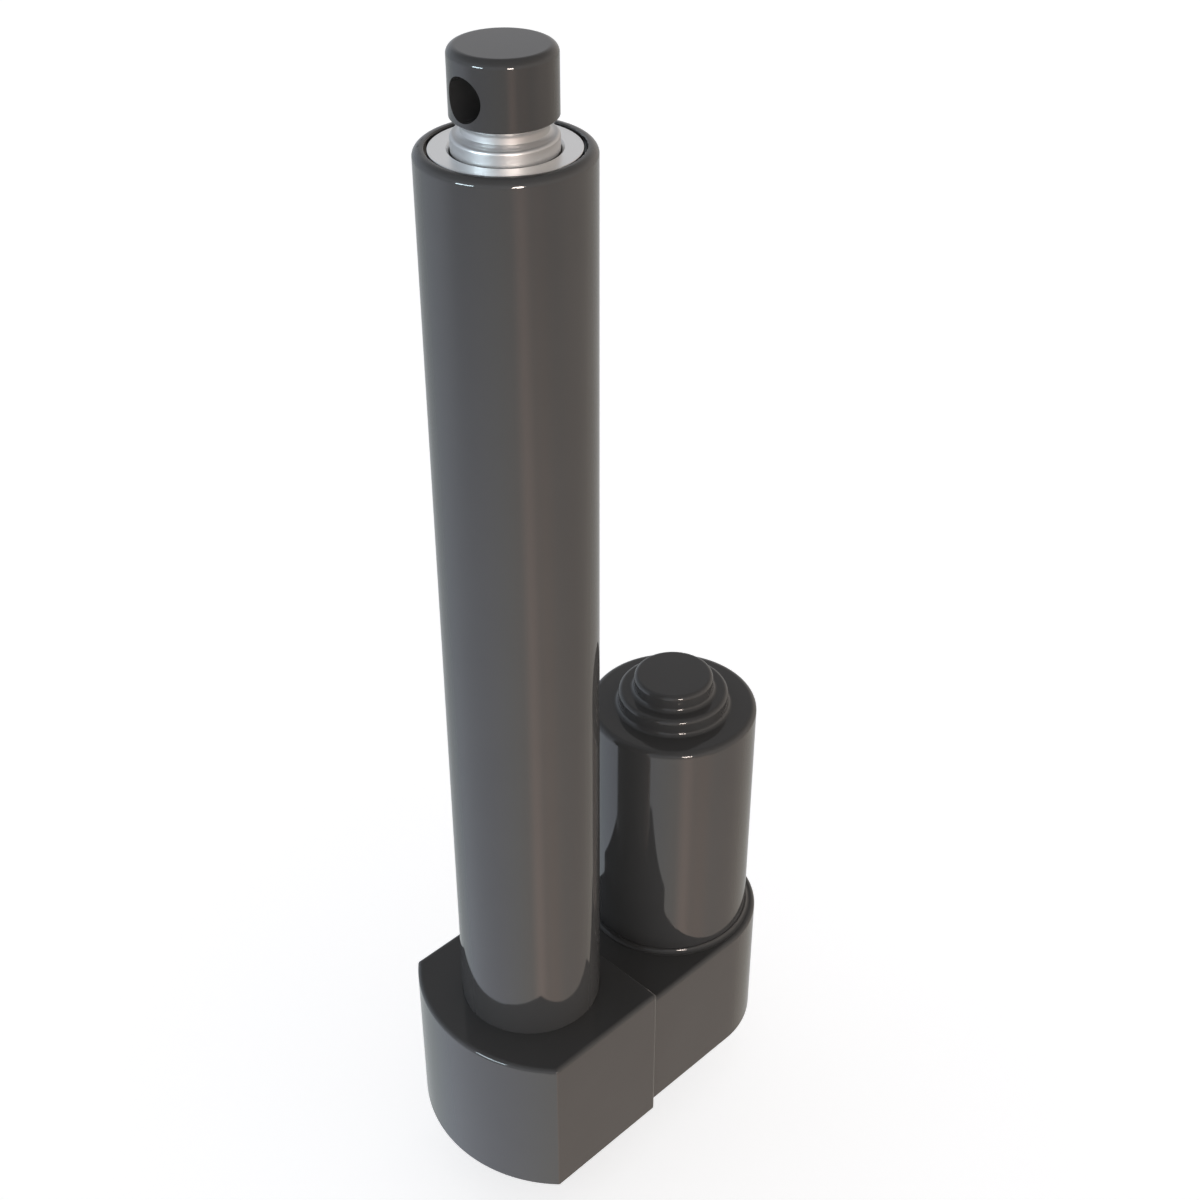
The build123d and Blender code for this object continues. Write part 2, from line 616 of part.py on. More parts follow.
def make_rod_end():
    """One turned piece: spigot, collar, waisted neck, thin lip and the bored head."""
    collar_top = GLAND_TOP + COLLAR_ABOVE_GLAND
    neck_low = GLAND_TOP + NECK_LOW_ABOVE_GLAND
    neck_high = GLAND_TOP + NECK_HIGH_ABOVE_GLAND
    lip = GLAND_TOP + LIP_ABOVE_GLAND
    shelf_edge = ROD_RADIUS - COLLAR_EDGE
    spigot_end = ROD_JOINT - SPIGOT_LENGTH
    head_low_edge = ROD_RADIUS - HEAD_BOTTOM_EDGE
    head_top_edge = ROD_RADIUS - HEAD_TOP_EDGE
    turn = math.sqrt(0.5)
    below = Polyline(
        (0, spigot_end),
        (ROD_BORE - SEAT, spigot_end),
        (ROD_BORE - SEAT, ROD_JOINT),
        (ROD_RADIUS, ROD_JOINT),
        (ROD_RADIUS, collar_top - COLLAR_EDGE),
    )
    shoulder = ThreePointArc(
        (ROD_RADIUS, collar_top - COLLAR_EDGE),
        (shelf_edge + COLLAR_EDGE * turn, collar_top - COLLAR_EDGE * (1 - turn)),
        (shelf_edge, collar_top),
    )
    shelf = TangentArc((shelf_edge, collar_top), (NECK_RADIUS, neck_low), tangent=(-1, 0))
    neck = Line((NECK_RADIUS, neck_low), (NECK_RADIUS, neck_high))
    flare = TangentArc((NECK_RADIUS, neck_high), (LIP_RADIUS, lip), tangent=(0, 1))
    above = Polyline(
        (LIP_RADIUS, lip),
        (LIP_RADIUS, HEAD_BOTTOM),
        (head_low_edge, HEAD_BOTTOM),
        (ROD_RADIUS, HEAD_BOTTOM + HEAD_BOTTOM_EDGE),
        (ROD_RADIUS, HEAD_TOP - HEAD_TOP_EDGE),
    )
    crown = ThreePointArc(
        (ROD_RADIUS, HEAD_TOP - HEAD_TOP_EDGE),
        (head_top_edge + HEAD_TOP_EDGE * turn, HEAD_TOP - HEAD_TOP_EDGE * (1 - turn)),
        (head_top_edge, HEAD_TOP),
    )
    top = Polyline((head_top_edge, HEAD_TOP), (0, HEAD_TOP), (0, spigot_end))
    pieces = (below, shoulder, shelf, neck, flare, above, crown, top)
    body = turned([edge for piece in pieces for edge in piece.edges()])
    return body - bar_x(BORE_RADIUS, -2 * ROD_RADIUS, 2 * ROD_RADIUS, 0, HEAD_BORE_HEIGHT)


def make_drive_nut():
    """A flange that slides in the tube, and a shank that carries the extension tube."""
    nut = disc(TUBE_BORE - 2 * GLAND_GAP, NUT_LOW, NUT_SHOULDER)
    nut += disc(ROD_BORE - SEAT, NUT_SHOULDER, NUT_HIGH)
    band_low = NUT_LOW + (NUT_FLANGE_HEIGHT - BAND_HEIGHT) / 2
    nut -= ring(TUBE_RADIUS, TUBE_BORE - BAND_DEPTH - RUNNING, band_low, band_low + BAND_HEIGHT)
    nut -= disc(SCREW_RADIUS + RUNNING, NUT_LOW, NUT_HIGH)
    for height in NUT_PIN_HEIGHTS:
        nut -= bar_y(NUT_PIN_RADIUS + SEAT, ROD_RADIUS, 0, NUT_SHOULDER + height)
    return nut


def make_nut_band():
    """A split slide band round the nut flange."""
    low = NUT_LOW + (NUT_FLANGE_HEIGHT - BAND_HEIGHT) / 2 + SEAT
    high = low + BAND_HEIGHT - 2 * SEAT
    band = ring(TUBE_BORE - RUNNING, TUBE_BORE - BAND_DEPTH, low, high)
    split = Pos(TUBE_BORE, 0, (low + high) / 2) * Box(3 * BAND_DEPTH, BAND_DEPTH, 2 * BAND_HEIGHT)
    return band - split


def make_nut_pins():
    """Short pins on both sides, from the rod surface to just short of the screw."""
    pins = []
    length = ROD_RADIUS - SCREW_RADIUS - 3 * SEAT
    middle = ROD_RADIUS - SEAT - length / 2
    for height in NUT_PIN_HEIGHTS:
        for side in (1, -1):
            pin = Rotation(90, 0, 0) * Cylinder(NUT_PIN_RADIUS, length)
            pins.append(Pos(0, side * middle, NUT_SHOULDER + height) * pin)
    return Compound(pins)


# Screw, bearing and gears


def ball_groove():
    middle = (BEARING_LOW + BEARING_HIGH) / 2
    section = Pos(BALL_PITCH_RADIUS, middle) * Circle(BALL_RADIUS + RUNNING)
    return revolve(Plane.XZ * section, Axis.Z)


def make_bearing_outer_race():
    return ring(BEARING_RADIUS, RACE_LAND_OUTER, BEARING_LOW, BEARING_HIGH) - ball_groove()


def make_bearing_inner_race():
    bore = SCREW_JOURNAL_RADIUS + SEAT
    return ring(RACE_LAND_INNER, bore, BEARING_LOW, BEARING_HIGH) - ball_groove()


def make_bearing_balls():
    middle = (BEARING_LOW + BEARING_HIGH) / 2
    places = PolarLocations(BALL_PITCH_RADIUS, BALL_COUNT)
    return Compound([Pos(0, 0, middle) * place * Sphere(BALL_RADIUS) for place in places])


def make_bearing_circlip():
    """The spring ring that holds the bearing down, with its gap and two eyes."""
    low = BEARING_HIGH
    high = low + CIRCLIP_HEIGHT
    clip = ring(BEARING_RADIUS, CIRCLIP_INNER, low, high)
    gap = Box(BEARING_RADIUS, CIRCLIP_GAP, 2 * CIRCLIP_HEIGHT)
    clip -= Pos(BEARING_RADIUS, 0, (low + high) / 2) * gap
    for side in (1, -1):
        turn = Rotation(0, 0, side * CIRCLIP_EYE_ANGLE)
        clip += turn * disc(CIRCLIP_EYE_RADIUS, low, high, CIRCLIP_INNER)
        clip -= turn * disc(CIRCLIP_EYE_HOLE, low, high, CIRCLIP_INNER)
    return clip


def key_bar(extra):
    """The key between the screw and its gear, or with some extra, its keyway."""
    width = KEY_WIDTH + 2 * extra
    depth = 2 * KEY_DEPTH + 2 * extra
    low = SLOW_LOW + KEY_END_GAP - extra
    length = SLOW_FACE - 2 * KEY_END_GAP + 2 * extra
    key = Box(depth, width, length, align=ON_FOOT)
    return Pos(SCREW_GEAR_SEAT_RADIUS, 0, low) * key


def make_lead_screw():
    screw = disc(SCREW_GEAR_SEAT_RADIUS, SCREW_BOTTOM, BEARING_LOW)
    screw += disc(SCREW_JOURNAL_RADIUS, BEARING_LOW, BEARING_HIGH)
    screw += disc(SCREW_COLLAR_RADIUS, BEARING_HIGH, SCREW_COLLAR_TOP)
    screw += disc(SCREW_RADIUS, SCREW_COLLAR_TOP, SCREW_TOP)
    screw = chamfer(screw.faces().sort_by(Axis.Z)[-1].edges(), SCREW_TIP_CHAMFER)
    return screw - key_bar(SEAT)


def make_screw_guide():
    """A plastic guide pressed on the screw's free end, inside the extension tube."""
    low = SCREW_TOP - SCREW_GUIDE_HEIGHT
    guide = ring(ROD_BORE - GLAND_GAP, SCREW_RADIUS + SEAT, low, SCREW_TOP)
    outer_edges = guide.edges().filter_by(GeomType.CIRCLE).sort_by(SortBy.RADIUS)[-2:]
    return chamfer(outer_edges, SCREW_GUIDE_CHAMFER)


def make_gear_nut():
    nut = Pos(0, 0, GEAR_NUT_LOW) * extrude(
        RegularPolygon(GEAR_NUT_ACROSS / 2, 6, major_radius=False), GEAR_NUT_HEIGHT
    )
    return nut - disc(SCREW_GEAR_SEAT_RADIUS + SEAT, GEAR_NUT_LOW, SLOW_LOW)


def gear_plan(module, teeth, shift):
    """The plan of a spur gear, with one tooth centred on +X and arcs for its involute flanks."""
    pressure = math.radians(PRESSURE_ANGLE)
    pitch = module * teeth / 2
    base = pitch * math.cos(pressure)
    tip = pitch + module * (1 + shift)
    root = pitch - module * (1 + TOOTH_TIP_GAP - shift)
    thickness = module * (math.pi / 2 + 2 * shift * math.tan(pressure)) - BACKLASH
    half_at_pitch = thickness / (2 * pitch) + math.tan(pressure) - pressure

    def half_angle(radius):
        lean = math.acos(min(1.0, base / radius))
        return half_at_pitch - math.tan(lean) + lean

    def point(radius, angle):
        return (radius * math.cos(angle), radius * math.sin(angle))

    start = max(base, root)
    middle = (start + tip) / 2
    step = 2 * math.pi / teeth
    edges = []
    for tooth in range(teeth):
        centre = tooth * step
        low = [point(r, centre - half_angle(r)) for r in (start, middle, tip)]
        high = [point(r, centre + half_angle(r)) for r in (tip, middle, start)]
        edges += ThreePointArc(*low).edges()
        edges += ThreePointArc(low[2], point(tip, centre), high[0]).edges()
        edges += ThreePointArc(*high).edges()
        gap_start = centre + half_angle(start)
        gap_end = centre + step - half_angle(start)
        floor_start, floor_end = point(root, gap_start), point(root, gap_end)
        if start > root:
            edges += Line(high[2], floor_start).edges()
        edges += ThreePointArc(floor_start, point(root, centre + step / 2), floor_end).edges()
        if start > root:
            edges += Line(floor_end, point(start, gap_end)).edges()
    return make_face(edges)


def gear(module, teeth, shift, low, high, x, turn):
    """A spur gear on an upright axis, turned in degrees about it."""
    plan = Rotation(0, 0, turn) * gear_plan(module, teeth, shift)
    return Pos(x, 0, low) * extrude(plan, high - low)


def web_recess(module, teeth, shift, low, high, x):
    """Annular recesses in both faces of a gear, which leave a web between hub and rim."""
    root = module * (teeth / 2 - 1 - TOOTH_TIP_GAP + shift)
    outer = root - GEAR_RIM
    inner = HUB_RADIUS + GEAR_HUB_STEP
    recess = ring(outer, inner, low, low + GEAR_WEB_RECESS, x)
    return recess + ring(outer, inner, high - GEAR_WEB_RECESS, high, x)


def make_screw_gear():
    """The screw gear has a space, not a tooth, towards the idler."""
    turn = 180 / SCREW_GEAR_TEETH
    wheel = gear(SLOW_MODULE, SCREW_GEAR_TEETH, -PROFILE_SHIFT, SLOW_LOW, SLOW_HIGH, 0, turn)
    wheel -= web_recess(SLOW_MODULE, SCREW_GEAR_TEETH, -PROFILE_SHIFT, SLOW_LOW, SLOW_HIGH, 0)
    wheel += disc(HUB_RADIUS, SLOW_HIGH, BEARING_LOW)
    wheel -= disc(SCREW_GEAR_SEAT_RADIUS + SEAT, SLOW_LOW, BEARING_LOW)
    return wheel - key_bar(SEAT)


def make_idler_gear():
    """Wheel and pinion in one piece. Each has a tooth on the line of centres at its mesh."""
    wheel = gear(FAST_MODULE, WHEEL_TEETH, -PROFILE_SHIFT, FAST_LOW, FAST_HIGH, IDLER_X, 0)
    wheel -= web_recess(FAST_MODULE, WHEEL_TEETH, -PROFILE_SHIFT, FAST_LOW, FAST_HIGH, IDLER_X)
    neck_radius = SLOW_MODULE * (IDLER_PINION_TEETH / 2 - 1 - TOOTH_TIP_GAP + PROFILE_SHIFT)
    wheel += disc(neck_radius, FAST_HIGH, SLOW_LOW, IDLER_X)
    wheel += gear(SLOW_MODULE, IDLER_PINION_TEETH, PROFILE_SHIFT, SLOW_LOW, SLOW_HIGH, IDLER_X, 180)
    bore = IDLER_PIN_RADIUS + RUNNING + IDLER_BUSH_WALL + SEAT
    return wheel - disc(bore, FAST_LOW, SLOW_HIGH, IDLER_X)


def make_idler_bush():
    bore = IDLER_PIN_RADIUS + RUNNING
    return ring(bore + IDLER_BUSH_WALL, bore, FAST_LOW, SLOW_HIGH, IDLER_X)


def make_idler_pin():
    low = COVER_TOP - IDLER_PIN_SEAT + SEAT
    return disc(IDLER_PIN_RADIUS, low, CAVITY_TOP + IDLER_PIN_GRIP, IDLER_X)


def make_motor_pinion():
    """The pinion has a space towards the idler wheel."""
    turn = 180 + 180 / PINION_TEETH
    pinion = gear(FAST_MODULE, PINION_TEETH, PROFILE_SHIFT, FAST_LOW, FAST_HIGH, MOTOR_X, turn)
    return pinion - disc(SHAFT_RADIUS + SEAT, FAST_LOW, FAST_HIGH, MOTOR_X)


# Motor


def make_motor_can():
    can = ring(CAN_RADIUS, CAN_BORE, MOTOR_SEAT, CAN_TOP - CAN_WALL, MOTOR_X)
    can += ring(CAN_RADIUS, BELL_SPIGOT_RADIUS + SEAT, CAN_TOP - CAN_WALL, CAN_TOP, MOTOR_X)
    can = round_edges(can, CAN_TOP, CAN_RADIUS, CAN_EDGE)
    inlet_end = MOTOR_X + MOTOR_BLOCK_HALF_WIDTH
    return can - bar_x(INLET_RADIUS + SEAT, MOTOR_X + CAN_BORE / 2, inlet_end, 0, INLET_HEIGHT)


def make_motor_gasket():
    """The coved seal at the foot of the can, which closes its joint with the block."""
    turn = math.sqrt(0.5)
    inner = CAN_RADIUS + SEAT
    outer = inner + GASKET_LIP
    foot = outer + GASKET_COVE
    lip_top = MOTOR_BLOCK_TOP + GASKET_LIP
    top = lip_top + GASKET_COVE
    cove = ThreePointArc(
        (foot, lip_top),
        (foot - GASKET_COVE * turn, top - GASKET_COVE * turn),
        (outer, top),
    )
    rest = Polyline(
        (outer, top),
        (inner, top),
        (inner, MOTOR_BLOCK_TOP),
        (foot, MOTOR_BLOCK_TOP),
        (foot, lip_top),
    )
    return turned([*cove.edges(), *rest.edges()], MOTOR_X)


def stepped_disc(radius, low, high, edge):
    """An upright disc with a rounded top edge and a small concave foot."""
    turn = math.sqrt(0.5)
    foot = radius + FOOT_COVE
    cove = ThreePointArc(
        (foot, low),
        (foot - FOOT_COVE * turn, low + FOOT_COVE * (1 - turn)),
        (radius, low + FOOT_COVE),
    )
    crown = ThreePointArc(
        (radius, high - edge),
        (radius - edge * (1 - turn), high - edge * (1 - turn)),
        (radius - edge, high),
    )
    side = Line((radius, low + FOOT_COVE), (radius, high - edge))
    rest = Polyline((radius - edge, high), (0, high), (0, low), (foot, low))
    pieces = (cove, side, crown, rest)
    return turned([edge for piece in pieces for edge in piece.edges()], MOTOR_X)


def make_end_bell():
    bell = stepped_disc(BELL_RADIUS, CAN_TOP, BELL_TOP, BELL_EDGE)
    bell += disc(BELL_SPIGOT_RADIUS, UPPER_BEARING_LOW, CAN_TOP, MOTOR_X)
    bell -= disc(MOTOR_BEARING_RADIUS + SEAT, UPPER_BEARING_LOW, UPPER_BEARING_HIGH, MOTOR_X)
    return bell - disc(SHAFT_RADIUS + SHAFT_GAP, UPPER_BEARING_HIGH, BELL_TOP, MOTOR_X)


def make_bearing_cap():
    return stepped_disc(CAP_RADIUS, BELL_TOP, BELL_TOP + CAP_HEIGHT, CAP_EDGE)


def motor_bearing(low):
    bore = SHAFT_RADIUS + RUNNING
    return ring(MOTOR_BEARING_RADIUS, bore, low, low + MOTOR_BEARING_LENGTH, MOTOR_X)


def make_motor_front_plate():
    """The plate that closes the can below, with a bearing boss and a pilot for the web."""
    plate = disc(CAN_BORE - SEAT, MOTOR_SEAT, PLATE_TOP, MOTOR_X)
    plate += disc(PLATE_BOSS_RADIUS, PLATE_TOP, PLATE_TOP + PLATE_BOSS_HEIGHT, MOTOR_X)
    plate += disc(PLATE_BOSS_RADIUS, CAVITY_TOP, MOTOR_SEAT, MOTOR_X)
    bearing_high = MOTOR_SEAT + MOTOR_BEARING_LENGTH
    plate -= disc(MOTOR_BEARING_RADIUS + SEAT, MOTOR_SEAT, bearing_high, MOTOR_X)
    plate -= disc(SHAFT_RADIUS + SHAFT_GAP, CAVITY_TOP, PLATE_TOP + PLATE_BOSS_HEIGHT, MOTOR_X)
    for x, y in motor_screw_places():
        plate -= disc(MOTOR_SCREW_RADIUS + SEAT, MOTOR_SEAT, PLATE_TOP, x, y)
    return plate


def make_motor_screws():
    screws = []
    for x, y in motor_screw_places():
        screw = disc(MOTOR_SCREW_RADIUS, CAVITY_TOP, PLATE_TOP, x, y)
        screw += disc(MOTOR_SCREW_HEAD, CAVITY_TOP - MOTOR_SCREW_HEAD_LENGTH, CAVITY_TOP, x, y)
        screws.append(screw)
    return Compound(screws)


def make_magnet(side):
    """One ceramic arc magnet against the wall of the can."""
    low = (ARMATURE_LOW + ARMATURE_HIGH - MAGNET_LENGTH) / 2
    shell = ring(CAN_BORE - SEAT, CAN_BORE - MAGNET_THICKNESS, low, low + MAGNET_LENGTH, MOTOR_X)
    half = math.radians(MAGNET_SPAN / 2)
    reach = 2 * CAN_RADIUS
    corner_x, corner_y = reach * math.sin(half), reach * math.cos(half)
    wedge = Polyline((0, 0), (corner_x, corner_y), (corner_x, reach), (-corner_x, reach),
                     (-corner_x, corner_y), close=True)
    cutter = Pos(MOTOR_X, 0, low) * extrude(make_face(wedge), MAGNET_LENGTH)
    if side < 0:
        cutter = Pos(MOTOR_X, 0, 0) * Rotation(0, 0, 180) * Pos(-MOTOR_X, 0, 0) * cutter
    return shell & cutter


def slot_places():
    return PolarLocations(SLOT_PITCH_RADIUS, SLOT_COUNT)


def make_armature_core():
    core = disc(ARMATURE_RADIUS, ARMATURE_LOW, ARMATURE_HIGH)
    mouth = Box(ARMATURE_RADIUS, SLOT_MOUTH, ARMATURE_LENGTH, align=(Align.MIN, Align.CENTER, Align.MIN))
    slot = Cylinder(SLOT_RADIUS, ARMATURE_LENGTH, align=ON_FOOT) + mouth
    for place in slot_places():
        core -= Pos(0, 0, ARMATURE_LOW) * place * slot
    return Pos(MOTOR_X, 0, 0) * (core - disc(SHAFT_RADIUS + SEAT, ARMATURE_LOW, ARMATURE_HIGH))


def make_armature_windings():
    """Copper in the slots, joined by the coil ends above and below the core."""
    outer = SLOT_PITCH_RADIUS + SLOT_RADIUS
    low = ARMATURE_LOW - COIL_END_HEIGHT
    high = ARMATURE_HIGH + COIL_END_HEIGHT
    windings = ring(outer, COIL_END_INNER, low, ARMATURE_LOW - SEAT)
    windings = round_edges(windings, low, outer, COIL_END_HEIGHT / 2)
    top = ring(outer, COIL_END_INNER, ARMATURE_HIGH + SEAT, high)
    windings += round_edges(top, high, outer, COIL_END_HEIGHT / 2)
    for place in slot_places():
        coil = Cylinder(SLOT_RADIUS - 2 * SEAT, ARMATURE_LENGTH + 4 * SEAT, align=ON_FOOT)
        windings += Pos(0, 0, ARMATURE_LOW - 2 * SEAT) * place * coil
    return Pos(MOTOR_X, 0, 0) * windings


def make_commutator():
    body = ring(COMMUTATOR_RADIUS, SHAFT_RADIUS + SEAT, COMMUTATOR_LOW, COMMUTATOR_HIGH)
    slit_length = COMMUTATOR_LENGTH - COMMUTATOR_RISER
    slit = Box(2 * COMMUTATOR_SLIT_DEPTH, COMMUTATOR_SLIT, slit_length, align=ON_FOOT)
    for place in PolarLocations(COMMUTATOR_RADIUS, SLOT_COUNT):
        body -= Pos(0, 0, COMMUTATOR_LOW) * place * slit
    return Pos(MOTOR_X, 0, 0) * body


def make_motor_shaft():
    low = FAST_LOW - SHAFT_BELOW_PINION
    shaft = disc(SHAFT_RADIUS, low, UPPER_BEARING_HIGH + SHAFT_ABOVE_BEARING, MOTOR_X)
    return chamfer(shaft.edges().filter_by(GeomType.CIRCLE), SHAFT_CHAMFER)


def make_brush_card():
    return ring(CAN_BORE - SEAT, BRUSH_CARD_HOLE, BRUSH_CARD_LOW, BRUSH_CARD_TOP, MOTOR_X)


def brush_start():
    return COMMUTATOR_RADIUS + RUNNING


def both_sides(part):
    """A part on the +Y side of the motor axis and its twin on the -Y side."""
    twin = mirror(part, Plane.XZ)
    return Compound([Pos(MOTOR_X, 0, 0) * part, Pos(MOTOR_X, 0, 0) * twin])


def make_brushes():
    start = brush_start()
    block = Box(BRUSH_WIDTH, BRUSH_LENGTH, BRUSH_HEIGHT, align=(Align.CENTER, Align.MIN, Align.MIN))
    brush = Pos(0, start, BRUSH_CARD_TOP + HOLDER_WALL + SEAT) * block
    return both_sides(brush - disc(start, BRUSH_CARD_TOP, COMMUTATOR_HIGH))


def make_brush_holders():
    """Open-ended square guides, closed at their outer end, that stand on the brush card."""
    start = COMMUTATOR_RADIUS + HOLDER_WALL
    length = HOLDER_REACH - start
    align = (Align.CENTER, Align.MIN, Align.MIN)
    width = BRUSH_WIDTH + 2 * SEAT
    height = BRUSH_HEIGHT + 2 * SEAT
    shell = Box(width + 2 * HOLDER_WALL, length, height + 2 * HOLDER_WALL, align=align)
    holder = Pos(0, start, BRUSH_CARD_TOP) * shell
    channel = Box(width, length - HOLDER_WALL, height, align=align)
    return both_sides(holder - Pos(0, start, BRUSH_CARD_TOP + HOLDER_WALL) * channel)


def make_brush_springs():
    """Plain cylinders the size of the coil springs behind the brushes."""
    start = brush_start() + BRUSH_LENGTH
    length = HOLDER_REACH - HOLDER_WALL - start
    middle = BRUSH_CARD_TOP + HOLDER_WALL + BRUSH_HEIGHT / 2 + SEAT
    spring = Rotation(90, 0, 0) * Cylinder(BRUSH_WIDTH / 2 - SEAT, length - SEAT)
    return both_sides(Pos(0, start + length / 2, middle) * spring)


def make_cable_grommet():
    """A rubber grommet through the block and the can, with its flange outside."""
    inner_end = MOTOR_X + CAN_BORE
    face = MOTOR_X + MOTOR_BLOCK_HALF_WIDTH
    grommet = bar_x(INLET_RADIUS, inner_end, face + INLET_FLANGE, 0, INLET_HEIGHT)
    flange = bar_x(INLET_FLANGE_RADIUS, face - INLET_FLANGE, face + INLET_FLANGE, 0, INLET_HEIGHT)
    flange -= disc(MOTOR_BLOCK_HALF_WIDTH + SEAT, HOUSING_BOTTOM, MOTOR_BLOCK_TOP, MOTOR_X)
    grommet += flange
    grommet = fillet(grommet.faces().sort_by(Axis.X)[-1].edges(), INLET_EDGE)
    return grommet - bar_x(INLET_BORE, inner_end, face + INLET_FLANGE, 0, INLET_HEIGHT)


def main():
    os.makedirs("parts", exist_ok=True)
    nodes = {
        "tube_housing": make_tube_housing(),
        "motor_housing": make_motor_housing(),
        "rear_cover": make_rear_cover(),
        "rear_tang": make_rear_tang(),
        "cover_screws": Compound(at_places(cover_screw(0, True), cover_screw_places())),
        "block_screws": make_block_screws(),
        "cover_tube": make_cover_tube(),
        "socket_o_ring": make_socket_o_ring(),
        "gland": make_gland(),
        "rod_wiper": make_rod_wiper(),
        "guide_bush": make_guide_bush(),
        "gland_o_ring": make_gland_o_ring(),
        "extension_tube": make_extension_tube(),
        "rod_end": make_rod_end(),
        "drive_nut": make_drive_nut(),
        "nut_band": make_nut_band(),
        "nut_pins": make_nut_pins(),
        "lead_screw": make_lead_screw(),
        "screw_guide": make_screw_guide(),
        "screw_gear": make_screw_gear(),
        "gear_key": key_bar(0),
        "gear_nut": make_gear_nut(),
        "bearing_outer_race": make_bearing_outer_race(),
        "bearing_inner_race": make_bearing_inner_race(),
        "bearing_balls": make_bearing_balls(),
        "bearing_circlip": make_bearing_circlip(),
        "idler_gear": make_idler_gear(),
        "idler_bush": make_idler_bush(),
        "idler_pin": make_idler_pin(),
        "motor_pinion": make_motor_pinion(),
        "motor_shaft": make_motor_shaft(),
        "armature_core": make_armature_core(),
        "armature_windings": make_armature_windings(),
        "commutator": make_commutator(),
        "motor_can": make_motor_can(),
        "motor_gasket": make_motor_gasket(),
        "motor_front_plate": make_motor_front_plate(),
        "motor_screws": make_motor_screws(),
        "motor_bearing_lower": motor_bearing(MOTOR_SEAT),
        "motor_bearing_upper": motor_bearing(UPPER_BEARING_LOW),
        "end_bell": make_end_bell(),
        "bearing_cap": make_bearing_cap(),
        "magnet_left": make_magnet(1),
        "magnet_right": make_magnet(-1),
        "brush_card": make_brush_card(),
        "brushes": make_brushes(),
        "brush_holders": make_brush_holders(),
        "brush_springs": make_brush_springs(),
        "cable_grommet": make_cable_grommet(),
    }
    for name, part in nodes.items():
        export(part, name)


main()
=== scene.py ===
import math

import bmesh
import bpy
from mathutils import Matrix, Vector


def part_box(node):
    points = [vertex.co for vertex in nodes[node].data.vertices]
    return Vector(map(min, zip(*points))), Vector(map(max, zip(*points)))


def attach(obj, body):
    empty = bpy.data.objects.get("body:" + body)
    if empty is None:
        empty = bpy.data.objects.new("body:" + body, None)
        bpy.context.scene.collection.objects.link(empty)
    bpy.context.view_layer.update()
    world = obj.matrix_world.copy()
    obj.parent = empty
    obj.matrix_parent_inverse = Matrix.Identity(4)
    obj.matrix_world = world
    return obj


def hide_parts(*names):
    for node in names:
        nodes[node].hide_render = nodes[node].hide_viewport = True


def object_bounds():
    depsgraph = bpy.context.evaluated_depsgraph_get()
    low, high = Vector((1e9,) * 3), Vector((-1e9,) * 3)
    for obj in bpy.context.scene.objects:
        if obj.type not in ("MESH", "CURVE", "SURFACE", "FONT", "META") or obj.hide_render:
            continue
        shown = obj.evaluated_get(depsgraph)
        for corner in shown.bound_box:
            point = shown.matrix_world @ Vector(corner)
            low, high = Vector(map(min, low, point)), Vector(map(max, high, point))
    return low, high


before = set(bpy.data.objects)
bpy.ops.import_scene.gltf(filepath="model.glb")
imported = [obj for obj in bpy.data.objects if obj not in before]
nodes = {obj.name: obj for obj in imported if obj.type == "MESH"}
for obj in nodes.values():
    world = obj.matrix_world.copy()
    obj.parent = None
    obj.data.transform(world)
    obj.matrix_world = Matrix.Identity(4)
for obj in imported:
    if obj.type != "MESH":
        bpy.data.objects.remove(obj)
cad_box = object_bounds()

MM = 0.001

# Places read from the frame, in metres
TUBE_LOW, TUBE_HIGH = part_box("cover_tube")
ROD_END_LOW, ROD_END_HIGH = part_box("rod_end")
SCREW_LOW, SCREW_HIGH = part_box("lead_screw")
NUT_LOW, NUT_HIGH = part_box("drive_nut")
BRUSH_LOW, BRUSH_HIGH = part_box("brushes")
SPRING_LOW, SPRING_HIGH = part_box("brush_springs")
CAN_LOW, CAN_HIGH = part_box("motor_can")
MOTOR_X = (CAN_LOW[0] + CAN_HIGH[0]) / 2
FLOOR_Z = cad_box[0][2]


# Materials


def shade(colour, factor):
    """A colour made lighter or darker by a factor, up to white."""
    return tuple(min(1.0, channel * factor) for channel in colour)


class Tree:
    """A small helper round one node tree."""

    def __init__(self, tree):
        self.tree = tree

    def new(self, kind, **settings):
        node = self.tree.nodes.new(kind)
        for key, value in settings.items():
            setattr(node, key, value)
        return node

    def feed(self, socket, value):
        """Set a socket to a number, a direction or a colour, or link it to an output."""
        if isinstance(value, (int, float, Vector)):
            socket.default_value = value
        elif isinstance(value, tuple):
            socket.default_value = (*value, 1.0)
        else:
            self.tree.links.new(value, socket)

    def math(self, operation, *values):
        node = self.new("ShaderNodeMath", operation=operation)
        for socket, value in zip(node.inputs, values):
            self.feed(socket, value)
        return node.outputs[0]

    def mix(self, factor, a, b):
        """Mix two colours, each a tuple or an output, by a factor."""
        node = self.new("ShaderNodeMix", data_type="RGBA")
        for index, value in ((0, factor), (6, a), (7, b)):
            self.feed(node.inputs[index], value)
        return node.outputs[2]


